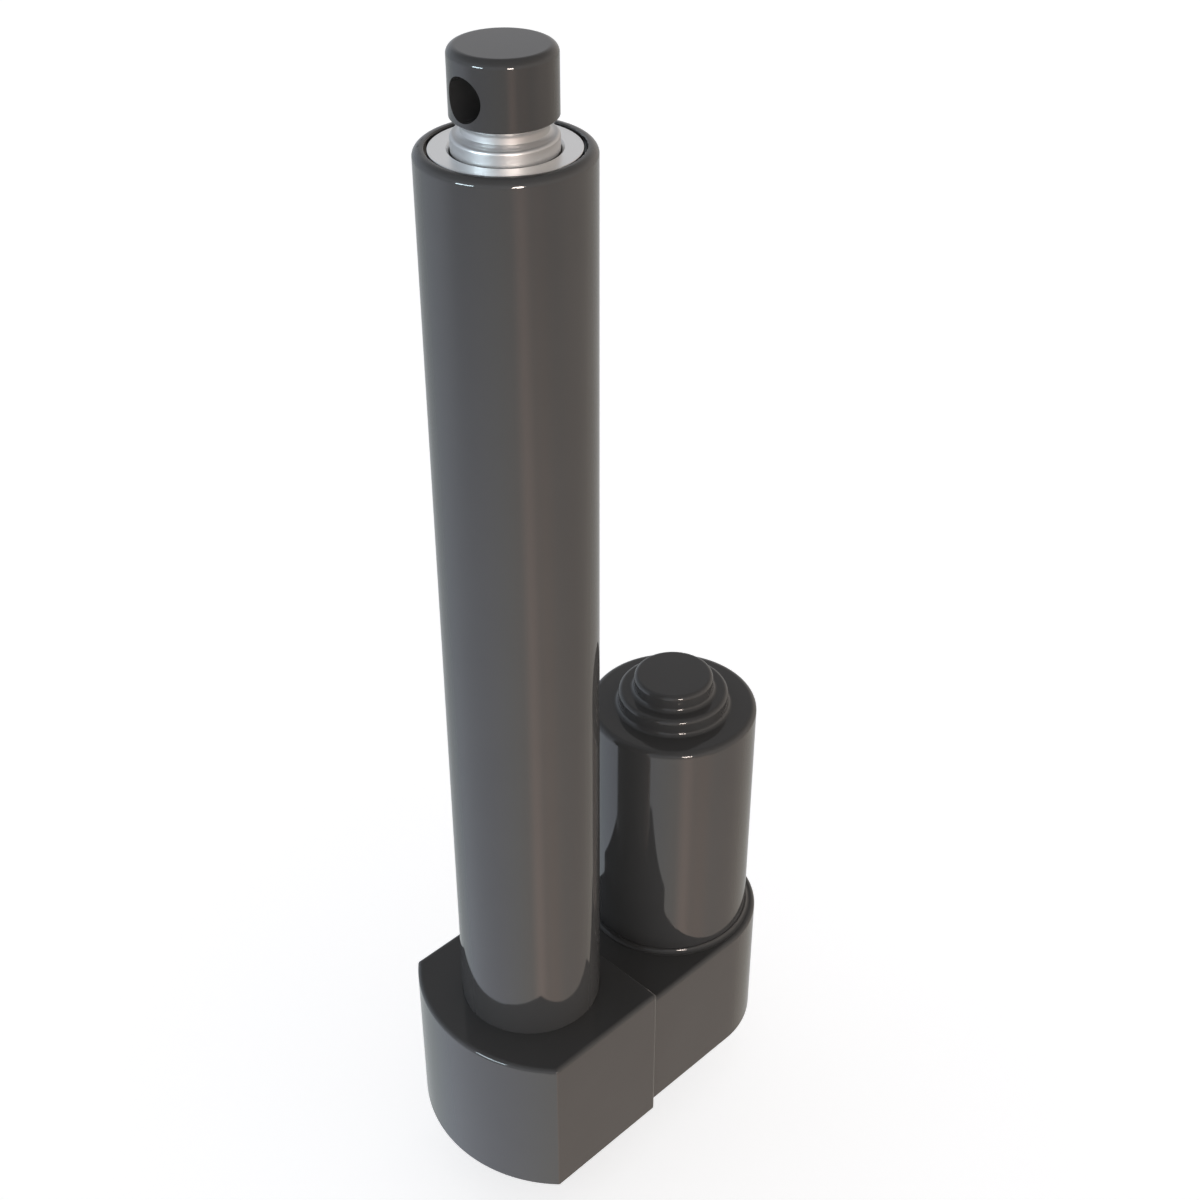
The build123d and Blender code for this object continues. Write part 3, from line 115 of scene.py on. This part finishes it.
class Surface(Tree):
    """The node tree of one piece's material."""

    def __init__(self, name):
        self.material = bpy.data.materials.new(name)
        self.material.use_nodes = True
        super().__init__(self.material.node_tree)
        self.shader = self.tree.nodes["Principled BSDF"]
        self.coords = self.new("ShaderNodeTexCoord").outputs["Object"]

    def noise(self, scale, detail=2.0, coords=None, roughness=0.5):
        node = self.new("ShaderNodeTexNoise")
        self.feed(node.inputs["Scale"], scale)
        self.feed(node.inputs["Detail"], detail)
        self.feed(node.inputs["Roughness"], roughness)
        self.feed(node.inputs["Vector"], coords or self.coords)
        return node.outputs["Fac"]

    def spread(self, value, low, high):
        """Map a 0 to 1 value to a range."""
        node = self.new("ShaderNodeMapRange")
        self.feed(node.inputs["To Min"], low)
        self.feed(node.inputs["To Max"], high)
        self.feed(node.inputs["Value"], value)
        return node.outputs["Result"]

    def step(self, value, start, end):
        """0 below start, 1 above end."""
        node = self.new("ShaderNodeMapRange")
        self.feed(node.inputs["From Min"], start)
        self.feed(node.inputs["From Max"], end)
        self.feed(node.inputs["Value"], value)
        return node.outputs["Result"]

    def mix_value(self, factor, a, b):
        """Mix two numbers, each plain or an output, by a factor."""
        node = self.new("ShaderNodeMix", data_type="FLOAT")
        for index, value in ((0, factor), (2, a), (3, b)):
            self.feed(node.inputs[index], value)
        return node.outputs[0]

    def bump(self, height, strength, distance):
        node = self.new("ShaderNodeBump")
        self.feed(node.inputs["Strength"], strength)
        self.feed(node.inputs["Distance"], distance)
        self.feed(node.inputs["Height"], height)
        self.set("Normal", node.outputs["Normal"])

    def set(self, name, value):
        self.feed(self.shader.inputs[name], value)

    def axes(self):
        node = self.new("ShaderNodeSeparateXYZ")
        self.feed(node.inputs[0], self.coords)
        return node.outputs

    def lathe(self, centre_x=0.0):
        """Coordinates that change only with radius and height, for turned marks."""
        x, y, z = self.axes()
        dx = self.math("SUBTRACT", x, centre_x)
        squares = self.math("ADD", self.math("MULTIPLY", dx, dx), self.math("MULTIPLY", y, y))
        radius = self.math("SQRT", squares)
        node = self.new("ShaderNodeCombineXYZ")
        self.feed(node.inputs[0], radius)
        self.feed(node.inputs[2], z)
        return node.outputs[0]


# The coat's index of refraction, the scale of its clouds, and the fine marks of turned metal
COAT_IOR = 1.5
CLOUD_SCALE = 35.0
MARK_SCALE = 1500.0
MARK_COARSENESS = 0.65


def coated(name, colour, roughness, peel, grain):
    """A smooth dark coat with a faint orange peel and uneven gloss."""
    n = Surface(name)
    cloud = n.noise(CLOUD_SCALE, 3.0)
    n.set("Base Color", n.mix(cloud, shade(colour, 0.93), shade(colour, 1.07)))
    n.set("Roughness", n.spread(n.noise(90.0, 4.0), roughness * 0.8, roughness * 1.25))
    n.set("IOR", COAT_IOR)
    n.bump(n.noise(grain, 2.0), peel, 0.02 * MM)
    return n.material


def turned_metal(name, colour, roughness, centre_x=0.0, mark=0.35):
    """Bare turned metal with fine rings."""
    n = Surface(name)
    rings = n.noise(MARK_SCALE, 3.0, n.lathe(centre_x), MARK_COARSENESS)
    n.set("Base Color", n.mix(rings, shade(colour, 0.96), shade(colour, 1.03)))
    n.set("Metallic", 1.0)
    n.set("Roughness", n.spread(rings, roughness * 0.9, roughness * 1.12))
    n.bump(rings, mark, 0.01 * MM)
    return n.material


def plain_metal(name, colour, roughness):
    """Plated steel: clean metal with a slightly uneven finish."""
    n = Surface(name)
    cloud = n.noise(400.0, 4.0)
    n.set("Base Color", n.mix(cloud, shade(colour, 0.92), colour))
    n.set("Metallic", 1.0)
    n.set("Roughness", n.spread(cloud, roughness * 0.7, roughness * 1.4))
    n.bump(n.noise(3000.0), 0.15, 0.01 * MM)
    return n.material


def sintered(name, colour, roughness):
    """Porous sintered metal: speckled with open pores."""
    n = Surface(name)
    cells = n.new("ShaderNodeTexVoronoi")
    n.feed(cells.inputs["Scale"], 2200.0)
    n.feed(cells.inputs["Vector"], n.coords)
    pores = n.step(cells.outputs["Distance"], 0.1, 0.45)
    n.set("Base Color", n.mix(pores, shade(colour, 0.45), colour))
    n.set("Metallic", 0.9)
    n.set("Roughness", roughness)
    n.bump(pores, 0.4, 0.03 * MM)
    return n.material


def moulded(name, colour, roughness, grain=1500.0, peel=0.25):
    """Moulded plastic or rubber with a fine spark-eroded grain."""
    n = Surface(name)
    cloud = n.noise(60.0, 3.0)
    n.set("Base Color", n.mix(cloud, shade(colour, 0.88), shade(colour, 1.08)))
    gloss = n.noise(300.0, 3.0)
    n.set("Roughness", n.spread(gloss, roughness * 0.85, min(1.0, roughness * 1.15)))
    n.bump(n.noise(grain, 3.0), peel, 0.03 * MM)
    return n.material


def wound_copper(name, colour):
    """Enamelled copper wire, laid side by side round the coils, with painted shade darkening the
    grooves between strands.
    """
    n = Surface(name)
    x, y, z = n.axes()
    angle = n.math("ARCTAN2", y, n.math("SUBTRACT", x, MOTOR_X))
    across = n.math("MULTIPLY", angle, 60.0)
    upward = n.math("MULTIPLY", z, 9000.0)
    strands = n.math("SINE", n.math("ADD", across, upward))
    strand_relief_and_shade = n.spread(n.math("ABSOLUTE", strands), 0.0, 1.0)
    # Painted shade: the colour falls to 35 % of the copper in the grooves between strands; the same
    # mask also gives the strands their bump.
    n.set("Base Color", n.mix(strand_relief_and_shade, shade(colour, 0.35), colour))
    n.set("Metallic", 0.85)
    n.set("Roughness", 0.32)
    n.bump(strand_relief_and_shade, 0.6, 0.15 * MM)
    return n.material


# Each sheet of the armature's stack is this thick
SHEET_THICKNESS = 0.5 * MM


def stacked_sheets(name, colour):
    """Thin sheets of electrical steel, stacked along Z."""
    n = Surface(name)
    _, _, z = n.axes()
    layers = n.math("PINGPONG", z, SHEET_THICKNESS / 2)
    lines = n.step(layers, 0.02 * MM, 0.08 * MM)
    n.set("Base Color", n.mix(lines, shade(colour, 0.4), colour))
    n.set("Metallic", 0.8)
    n.set("Roughness", 0.42)
    n.bump(lines, 0.5, 0.05 * MM)
    return n.material


# The rod end's head is coated and its neck is bare; the head is this tall
HEAD_HEIGHT = 19.2 * MM
HEAD_ROUGHNESS = 0.07
NECK_ROUGHNESS = (0.38, 0.44)
LIP_BLEND = (-0.06 * MM, 0.02 * MM)


def rod_end_material(paint, metal):
    """Coated above the lip, bare turned metal below it."""
    n = Surface("rod_end_two_tone")
    _, _, z = n.axes()
    lip = ROD_END_HIGH[2] - HEAD_HEIGHT
    coat = n.step(z, *(lip + offset for offset in LIP_BLEND))
    rings = n.noise(MARK_SCALE, 3.0, n.lathe(), MARK_COARSENESS)
    cloud = n.noise(CLOUD_SCALE, 3.0)
    painted = n.mix(cloud, shade(paint, 0.93), shade(paint, 1.07))
    bare = n.mix(rings, shade(metal, 0.96), metal)
    n.set("Base Color", n.mix(coat, bare, painted))
    n.set("Metallic", n.mix_value(coat, 1.0, 0.0))
    n.set("Roughness", n.mix_value(coat, n.spread(rings, *NECK_ROUGHNESS), HEAD_ROUGHNESS))
    n.set("IOR", COAT_IOR)
    n.bump(n.mix_value(coat, rings, n.noise(300.0)), 0.012, 0.01 * MM)
    return n.material


HOUSING_COLOUR = (0.062, 0.061, 0.060)
COAT_COLOUR = (0.060, 0.059, 0.058)
HEAD_COLOUR = (0.050, 0.049, 0.048)
NECK_COLOUR = (0.62, 0.62, 0.62)
BRIGHT_COLOUR = (0.93, 0.93, 0.92)
STEEL_COLOUR = (0.50, 0.50, 0.52)
BRONZE_COLOUR = (0.50, 0.34, 0.16)
BRASS_COLOUR = (0.72, 0.53, 0.22)
COPPER_COLOUR = (0.66, 0.27, 0.11)
LAMINATION_COLOUR = (0.32, 0.32, 0.33)
ACETAL_COLOUR = (0.74, 0.71, 0.62)
RUBBER_COLOUR = (0.022, 0.022, 0.022)
NYLON_COLOUR = (0.045, 0.045, 0.048)
FERRITE_COLOUR = (0.085, 0.085, 0.09)
CARBON_COLOUR = (0.03, 0.03, 0.031)

housing_coat = coated("housing_coat", HOUSING_COLOUR, 0.07, 0.06, 500.0)
tube_coat = coated("tube_coat", COAT_COLOUR, 0.06, 0.006, 300.0)
can_coat = coated("can_coat", COAT_COLOUR, 0.06, 0.005, 300.0)
ring_metal = turned_metal("ring_metal", BRIGHT_COLOUR, 0.30, mark=0.06)
tube_metal = turned_metal("rod_metal", BRIGHT_COLOUR, 0.20, mark=0.06)
steel = plain_metal("plated_steel", STEEL_COLOUR, 0.30)
ground_steel = turned_metal("ground_steel", STEEL_COLOUR, 0.16, mark=0.1)
shaft_steel = turned_metal("shaft_steel", STEEL_COLOUR, 0.16, MOTOR_X, 0.1)
bronze = sintered("sintered_bronze", BRONZE_COLOUR, 0.42)
brass = plain_metal("pressed_brass", BRASS_COLOUR, 0.30)
rubber = moulded("black_rubber", RUBBER_COLOUR, 0.62)
nylon = moulded("black_nylon", NYLON_COLOUR, 0.48)
acetal = moulded("white_acetal", ACETAL_COLOUR, 0.34, 900.0, 0.08)
ferrite = moulded("grey_ferrite", FERRITE_COLOUR, 0.55, 2500.0, 0.4)
carbon = moulded("carbon", CARBON_COLOUR, 0.5, 3000.0, 0.3)
copper_wire = wound_copper("copper_wire", COPPER_COLOUR)
copper_bar = turned_metal("copper_bar", COPPER_COLOUR, 0.25, MOTOR_X)
lamination = stacked_sheets("lamination", LAMINATION_COLOUR)
rod_end_finish = rod_end_material(HEAD_COLOUR, NECK_COLOUR)

FINISHES = {
    housing_coat: ("tube_housing", "motor_housing", "rear_cover", "rear_tang"),
    tube_coat: ("cover_tube",),
    can_coat: ("motor_can", "motor_gasket", "end_bell", "bearing_cap"),
    ring_metal: ("gland",),
    tube_metal: ("extension_tube",),
    rod_end_finish: ("rod_end",),
    steel: (
        "cover_screws",
        "block_screws",
        "motor_screws",
        "gear_nut",
        "bearing_circlip",
        "gear_key",
    ),
    ground_steel: (
        "nut_pins",
        "bearing_outer_race",
        "bearing_inner_race",
        "bearing_balls",
        "idler_pin",
    ),
    shaft_steel: ("motor_shaft", "motor_pinion"),
    bronze: ("guide_bush", "drive_nut", "idler_bush", "motor_bearing_lower", "motor_bearing_upper"),
    brass: ("brush_holders",),
    rubber: ("socket_o_ring", "gland_o_ring", "rod_wiper", "cable_grommet"),
    nylon: ("nut_band", "screw_guide", "motor_front_plate", "brush_card"),
    acetal: ("screw_gear", "idler_gear"),
    ferrite: ("magnet_left", "magnet_right"),
    carbon: ("brushes",),
    copper_wire: ("armature_windings",),
    copper_bar: ("commutator",),
    lamination: ("armature_core",),
}


def dress(node, material):
    """Give a CAD node its material."""
    obj = nodes[node]
    if not obj.material_slots:
        obj.data.materials.append(material)
    for slot in obj.material_slots:
        slot.material = material


for material, names in FINISHES.items():
    for name in names:
        dress(name, material)


# Pieces built here


def add_piece(name, data, material, body):
    obj = bpy.data.objects.new(name, data)
    bpy.context.scene.collection.objects.link(obj)
    data.materials.append(material)
    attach(obj, body)
    return obj


# Lead screw: a two-start trapezoidal thread. Below it are the collar, the bearing's journal and
# the gear's seat, as the solid has them
THREAD_LEAD = 8.0 * MM
THREAD_STARTS = 2
THREAD_DEPTH = 1.9 * MM
THREAD_SIDES = 32
SCREW_RADIUS = 8.0 * MM
CREST_SHARE = 0.34
FLANK_SHARE = 0.14
SCREW_TIP_CHAMFER = 1.0 * MM
SCREW_COLLAR_HEIGHT = 3.5 * MM
SCREW_COLLAR_RADIUS = 11.0 * MM
SCREW_JOURNAL_RADIUS = 8.5 * MM
SCREW_SEAT_RADIUS = 6.0 * MM
WELD = 0.001 * MM


def thread_profile():
    """Where the profile bends, as shares of one pitch, with the radius there."""
    half_crest = CREST_SHARE / 2
    half_foot = half_crest + FLANK_SHARE
    root = SCREW_RADIUS - THREAD_DEPTH
    return (
        (0.5 - half_foot, root),
        (0.5 - half_crest, SCREW_RADIUS),
        (0.5 + half_crest, SCREW_RADIUS),
        (0.5 + half_foot, root),
    )


def build_lead_screw(collar_top, journal_top, journal_bottom):
    """The thread from the collar to the tip, then the collar, the journal and the gear's seat."""
    mesh = bmesh.new()
    pitch = THREAD_LEAD / THREAD_STARTS
    top = SCREW_HIGH[2]
    angles = [2 * math.pi * column / THREAD_SIDES for column in range(THREAD_SIDES + 1)]

    def corner(radius, angle, height):
        return mesh.verts.new((radius * math.cos(angle), radius * math.sin(angle), height))

    rows = []
    for turn in range(-2, int((top - collar_top) / pitch) + 3):
        for share, radius in thread_profile():
            row = []
            for angle in angles:
                height = collar_top + (turn + share) * pitch + THREAD_LEAD * angle / (2 * math.pi)
                height = min(top, max(collar_top, height))
                tip_radius = SCREW_RADIUS - max(0.0, height - top + SCREW_TIP_CHAMFER)
                row.append(corner(min(radius, tip_radius), angle, height))
            rows.append(row)
    for lower, upper in zip(rows, rows[1:]):
        for column in range(THREAD_SIDES):
            following = column + 1
            mesh.faces.new((lower[column], lower[following], upper[following], upper[column]))
    steps = (
        (0.0, SCREW_LOW[2]),
        (SCREW_SEAT_RADIUS, SCREW_LOW[2]),
        (SCREW_SEAT_RADIUS, journal_bottom),
        (SCREW_JOURNAL_RADIUS, journal_bottom),
        (SCREW_JOURNAL_RADIUS, journal_top),
        (SCREW_COLLAR_RADIUS, journal_top),
        (SCREW_COLLAR_RADIUS, collar_top),
        (SCREW_RADIUS - THREAD_DEPTH, collar_top),
    )
    rings = [[corner(radius, angle, height) for angle in angles[:-1]] for radius, height in steps]
    for lower, upper in zip(rings, rings[1:]):
        for column in range(THREAD_SIDES):
            following = (column + 1) % THREAD_SIDES
            mesh.faces.new((lower[column], lower[following], upper[following], upper[column]))
    end_radius = SCREW_RADIUS - SCREW_TIP_CHAMFER
    mesh.faces.new([corner(end_radius, angle, top) for angle in angles[:-1]])
    bmesh.ops.remove_doubles(mesh, verts=mesh.verts, dist=WELD)
    bmesh.ops.dissolve_degenerate(mesh, edges=mesh.edges, dist=WELD)
    bmesh.ops.recalc_face_normals(mesh, faces=mesh.faces)
    data = bpy.data.meshes.new("lead_screw_thread")
    mesh.to_mesh(data)
    mesh.free()
    return data


race_low, race_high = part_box("bearing_inner_race")
collar_top = race_high[2] + SCREW_COLLAR_HEIGHT
screw_data = build_lead_screw(collar_top, race_high[2], race_low[2])
lead_screw = add_piece("lead_screw_thread", screw_data, ground_steel, "screw")
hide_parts("lead_screw")

# Brush springs: a coil behind each brush
SPRING_TURNS = 6
SPRING_WIRE = 0.35 * MM
SPRING_STEPS = 16


def build_spring(name, side):
    """A helix along Y, between the brush and the closed end of its holder."""
    radius = (SPRING_HIGH[2] - SPRING_LOW[2]) / 2 - SPRING_WIRE
    middle_z = (SPRING_HIGH[2] + SPRING_LOW[2]) / 2
    start = BRUSH_HIGH[1] + SPRING_WIRE
    end = SPRING_HIGH[1] - SPRING_WIRE
    count = SPRING_TURNS * SPRING_STEPS
    data = bpy.data.curves.new(name, "CURVE")
    data.dimensions = "3D"
    data.bevel_depth = SPRING_WIRE
    data.bevel_resolution = 3
    line = data.splines.new("NURBS")
    line.points.add(count)
    for index, point in enumerate(line.points):
        angle = 2 * math.pi * index / SPRING_STEPS
        share = index / count
        x = MOTOR_X + radius * math.cos(angle)
        y = side * (start + (end - start) * share)
        point.co = (x, y, middle_z + radius * math.sin(angle), 1.0)
    line.order_u = 3
    line.use_endpoint_u = True
    return data


for name, side in (("brush_spring_left", 1), ("brush_spring_right", -1)):
    spring = add_piece(name, build_spring(name, side), steel, "base")
    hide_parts("brush_springs")


# Floor, world, lights and camera

# The view's heading and the direction to its right, both level
HEADING = Vector((math.sqrt(0.5), math.sqrt(0.5), 0.0))
RIGHT = Vector((math.sqrt(0.5), -math.sqrt(0.5), 0.0))

# The camera: its tilt below the horizon and its turn about Z in degrees, its lens in millimetres
CAMERA_TILT = 34.93
CAMERA_YAW = -45.0
CAMERA_PLACE = Vector((-0.3132, -0.3492, 0.5773))
CAMERA_LENS = 54.2
CAMERA_SENSOR = 36.0
CAMERA_NEAR = 0.01

FLOOR_SIZE = 12.0
FLOOR_PALE = 0.80
FLOOR_GLOW = 0.15
FLOOR_WHITE = 0.62
FLOOR_BLEND = 0.25

# Soft light from the left is a little cool, and from the right a little warm
COOL = (0.89, 0.97, 1.08)
WARM = (1.07, 0.98, 0.91)
WHITE = (1.0, 1.0, 1.0)


class Lighting(Tree):
    """The node tree of the floor or the world, built up from nothing."""

    def __init__(self, tree):
        super().__init__(tree)
        tree.nodes.clear()

    def dot(self, coords, direction):
        node = self.new("ShaderNodeVectorMath", operation="DOT_PRODUCT")
        self.feed(node.inputs[0], coords)
        self.feed(node.inputs[1], direction)
        return node.outputs["Value"]

    def ease(self, value, start, end, low=0.0, high=1.0):
        """Go smoothly from low at start to high at end."""
        node = self.new("ShaderNodeMapRange", interpolation_type="SMOOTHSTEP")
        spans = {"Value": value, "From Min": start, "From Max": end, "To Min": low, "To Max": high}
        for name, number in spans.items():
            self.feed(node.inputs[name], number)
        return node.outputs["Result"]

    def shine(self, kind, colour, strength):
        """An Emission or a Background of a colour and a strength."""
        node = self.new(kind)
        self.feed(node.inputs["Color"], colour)
        self.feed(node.inputs["Strength"], strength)
        return node.outputs[0]

    def add(self, a, b):
        node = self.new("ShaderNodeAddShader")
        self.feed(node.inputs[0], a)
        self.feed(node.inputs[1], b)
        return node.outputs[0]

    def choose(self, factor, a, b):
        """Mix two shaders."""
        node = self.new("ShaderNodeMixShader")
        for index, value in enumerate((factor, a, b)):
            self.feed(node.inputs[index], value)
        return node.outputs[0]

    def rays(self):
        """Whether the camera sees this, and whether a reflection or a refraction does."""
        path = self.new("ShaderNodeLightPath").outputs
        mirrored = self.math("MAXIMUM", path["Is Glossy Ray"], path["Is Transmission Ray"])
        return path["Is Camera Ray"], mirrored


def floor_material():
    """A pale floor that is white to the camera. Reflections look through it at the studio."""
    material = bpy.data.materials.new("floor_white")
    material.use_nodes = True
    n = Lighting(material.node_tree)
    camera_ray, mirrored = n.rays()
    side = n.dot(n.new("ShaderNodeTexCoord").outputs["Object"], RIGHT)
    tint = n.mix(n.ease(side, -FLOOR_BLEND, FLOOR_BLEND), COOL, WARM)
    lift = n.math("MULTIPLY_ADD", camera_ray, FLOOR_WHITE - FLOOR_GLOW, FLOOR_GLOW)
    glow = n.shine("ShaderNodeEmission", n.mix(camera_ray, tint, WHITE), lift)
    diffuse = n.new("ShaderNodeBsdfDiffuse")
    n.feed(diffuse.inputs["Color"], (FLOOR_PALE, FLOOR_PALE, FLOOR_PALE))
    through = n.new("ShaderNodeBsdfTransparent")
    surface = n.choose(mirrored, n.add(diffuse.outputs[0], glow), through.outputs[0])
    n.feed(n.new("ShaderNodeOutputMaterial").inputs["Surface"], surface)
    return material


def build_floor():
    mesh = bmesh.new()
    bmesh.ops.create_grid(mesh, x_segments=8, y_segments=8, size=FLOOR_SIZE / 2)
    data = bpy.data.meshes.new("floor")
    mesh.to_mesh(data)
    mesh.free()
    data.materials.append(floor_material())
    floor = bpy.data.objects.new("floor", data)
    floor.location = (0.0, 0.0, FLOOR_Z)
    bpy.context.scene.collection.objects.link(floor)


build_floor()

# World: a plain soft dome lights the object, reflections show a studio, the camera sees white.
# The studio's lower half is a ring of pale walls round the object, cool on the left and dim and
# warm on the right. Bearings count from the camera's side to its right, in degrees; heights are
# sines of the angle above the horizon, as pairs that say where a change starts and ends.
DOME_HORIZON = 3.0
DOME_ZENITH = 0.36
DOME_HEIGHTS = (0.0, 0.45)
ABOVE_HORIZON = 0.69
ABOVE_ZENITH = 0.26
ABOVE_HEIGHTS = (0.24, 0.81)
WALL_TOP_HEIGHTS = (-0.22, 0.02)
TINT_SIDES = (-0.8, 0.8)
RING_LEVEL = 1.34
RING = (
    (-180, (0.40, 0.41, 0.42)),
    (-130, (0.45, 0.49, 0.51)),
    (-100, (0.64, 0.69, 0.78)),
    (-45, (0.80, 0.82, 0.90)),
    (-5, (0.88, 0.84, 0.79)),
    (40, (0.92, 0.72, 0.60)),
    (60, (0.67, 0.57, 0.50)),
    (90, (0.47, 0.40, 0.35)),
    (130, (0.43, 0.40, 0.36)),
    (180, (0.40, 0.41, 0.42)),
)
FRONT_DIM = 0.51
FRONT_BEARINGS = (92.0, 55.0)
FRONT_HEIGHTS = (-0.62, -0.28)
STREAK_BEARING = 19.0
STREAK_SPREAD = 15.0
STREAK = (0.50, 0.30, 0.23)


def build_world():
    world = bpy.data.worlds.new("studio")
    bpy.context.scene.world = world
    world.use_nodes = True
    n = Lighting(world.node_tree)
    coords = n.new("ShaderNodeTexCoord").outputs["Generated"]
    right, back, up = (n.dot(coords, axis) for axis in (RIGHT, HEADING, Vector((0, 0, 1))))
    bearing = n.math("ARCTAN2", right, n.math("MULTIPLY", back, -1.0))
    ramp = n.new("ShaderNodeValToRGB")
    ramp.color_ramp.interpolation = "CARDINAL"
    stops = ramp.color_ramp.elements
    for index, (degrees, colour) in enumerate(RING):
        place = (degrees + 180) / 360
        stop = stops[index] if index < len(stops) else stops.new(place)
        stop.position = place
        stop.color = (*colour, 1.0)
    share = n.math("ADD", n.math("DIVIDE", bearing, 2 * math.pi), 0.5)
    n.feed(ramp.inputs[0], share)

    # The front wall fades towards the horizon, and a lamp's soft streak lies down it
    front = n.ease(n.math("ABSOLUTE", bearing), *(math.radians(b) for b in FRONT_BEARINGS))
    dimmed = n.math("MULTIPLY", n.math("MULTIPLY", front, n.ease(up, *FRONT_HEIGHTS)), FRONT_DIM)
    level = n.math("MULTIPLY", n.math("SUBTRACT", 1.0, dimmed), RING_LEVEL)
    walls = n.shine("ShaderNodeBackground", ramp.outputs["Color"], level)
    aside = n.math("ABSOLUTE", n.math("SUBTRACT", bearing, math.radians(STREAK_BEARING)))
    streak = n.ease(aside, math.radians(STREAK_SPREAD), 0.0)
    ring = n.add(walls, n.shine("ShaderNodeBackground", STREAK, streak))

    tint = n.mix(n.ease(right, *TINT_SIDES), COOL, WARM)
    above_level = n.ease(up, *ABOVE_HEIGHTS, ABOVE_HORIZON, ABOVE_ZENITH)
    above = n.shine("ShaderNodeBackground", tint, above_level)
    studio = n.choose(n.ease(up, *WALL_TOP_HEIGHTS), ring, above)
    dome_level = n.ease(up, *DOME_HEIGHTS, DOME_HORIZON, DOME_ZENITH)
    dome = n.shine("ShaderNodeBackground", tint, dome_level)
    camera_ray, mirrored = n.rays()
    lit = n.choose(mirrored, dome, studio)
    white = n.shine("ShaderNodeBackground", WHITE, 1.0)
    surface = n.choose(camera_ray, lit, white)
    n.feed(n.new("ShaderNodeOutputWorld").inputs["Surface"], surface)


build_world()

# Softboxes: they aim at the middle of the object
SOFTBOX_DISTANCE = 3.0
SOFTBOX_TARGET = Vector((0.03, 0.0, 0.2))


def add_softbox(name, bearing, elevation, width, height, power, colour):
    """An upright softbox for highlights. Bearing counts as in the world, in degrees."""
    turn = math.radians(bearing)
    lift = math.radians(elevation)
    level = RIGHT * math.sin(turn) - HEADING * math.cos(turn)
    direction = level * math.cos(lift) + Vector((0, 0, math.sin(lift)))
    data = bpy.data.lights.new(name, "AREA")
    data.shape = "RECTANGLE"
    data.size = width
    data.size_y = height
    data.energy = power
    data.color = colour
    lamp = bpy.data.objects.new(name, data)
    lamp.location = SOFTBOX_TARGET + direction * SOFTBOX_DISTANCE
    lamp.rotation_euler = (-direction).to_track_quat("-Z", "Y").to_euler()
    lamp.visible_diffuse = False
    bpy.context.scene.collection.objects.link(lamp)


add_softbox(
    "softbox_right",
    bearing=17.0,
    elevation=8.0,
    width=0.62,
    height=0.5,
    power=42.0,
    colour=(1.0, 0.86, 0.78),
)
add_softbox(
    "softbox_left",
    bearing=-48.0,
    elevation=7.0,
    width=1.1,
    height=0.45,
    power=46.0,
    colour=(0.74, 0.91, 1.0),
)

camera_data = bpy.data.cameras.new("camera")
camera_data.sensor_width = CAMERA_SENSOR
camera_data.sensor_fit = "HORIZONTAL"
camera_data.lens = CAMERA_LENS
camera_data.clip_start = CAMERA_NEAR
camera = bpy.data.objects.new("camera", camera_data)
camera.location = CAMERA_PLACE
camera.rotation_euler = (math.radians(90.0 - CAMERA_TILT), 0.0, math.radians(CAMERA_YAW))
bpy.context.scene.collection.objects.link(camera)
bpy.context.scene.camera = camera
bpy.context.scene.view_settings.view_transform = "Standard"
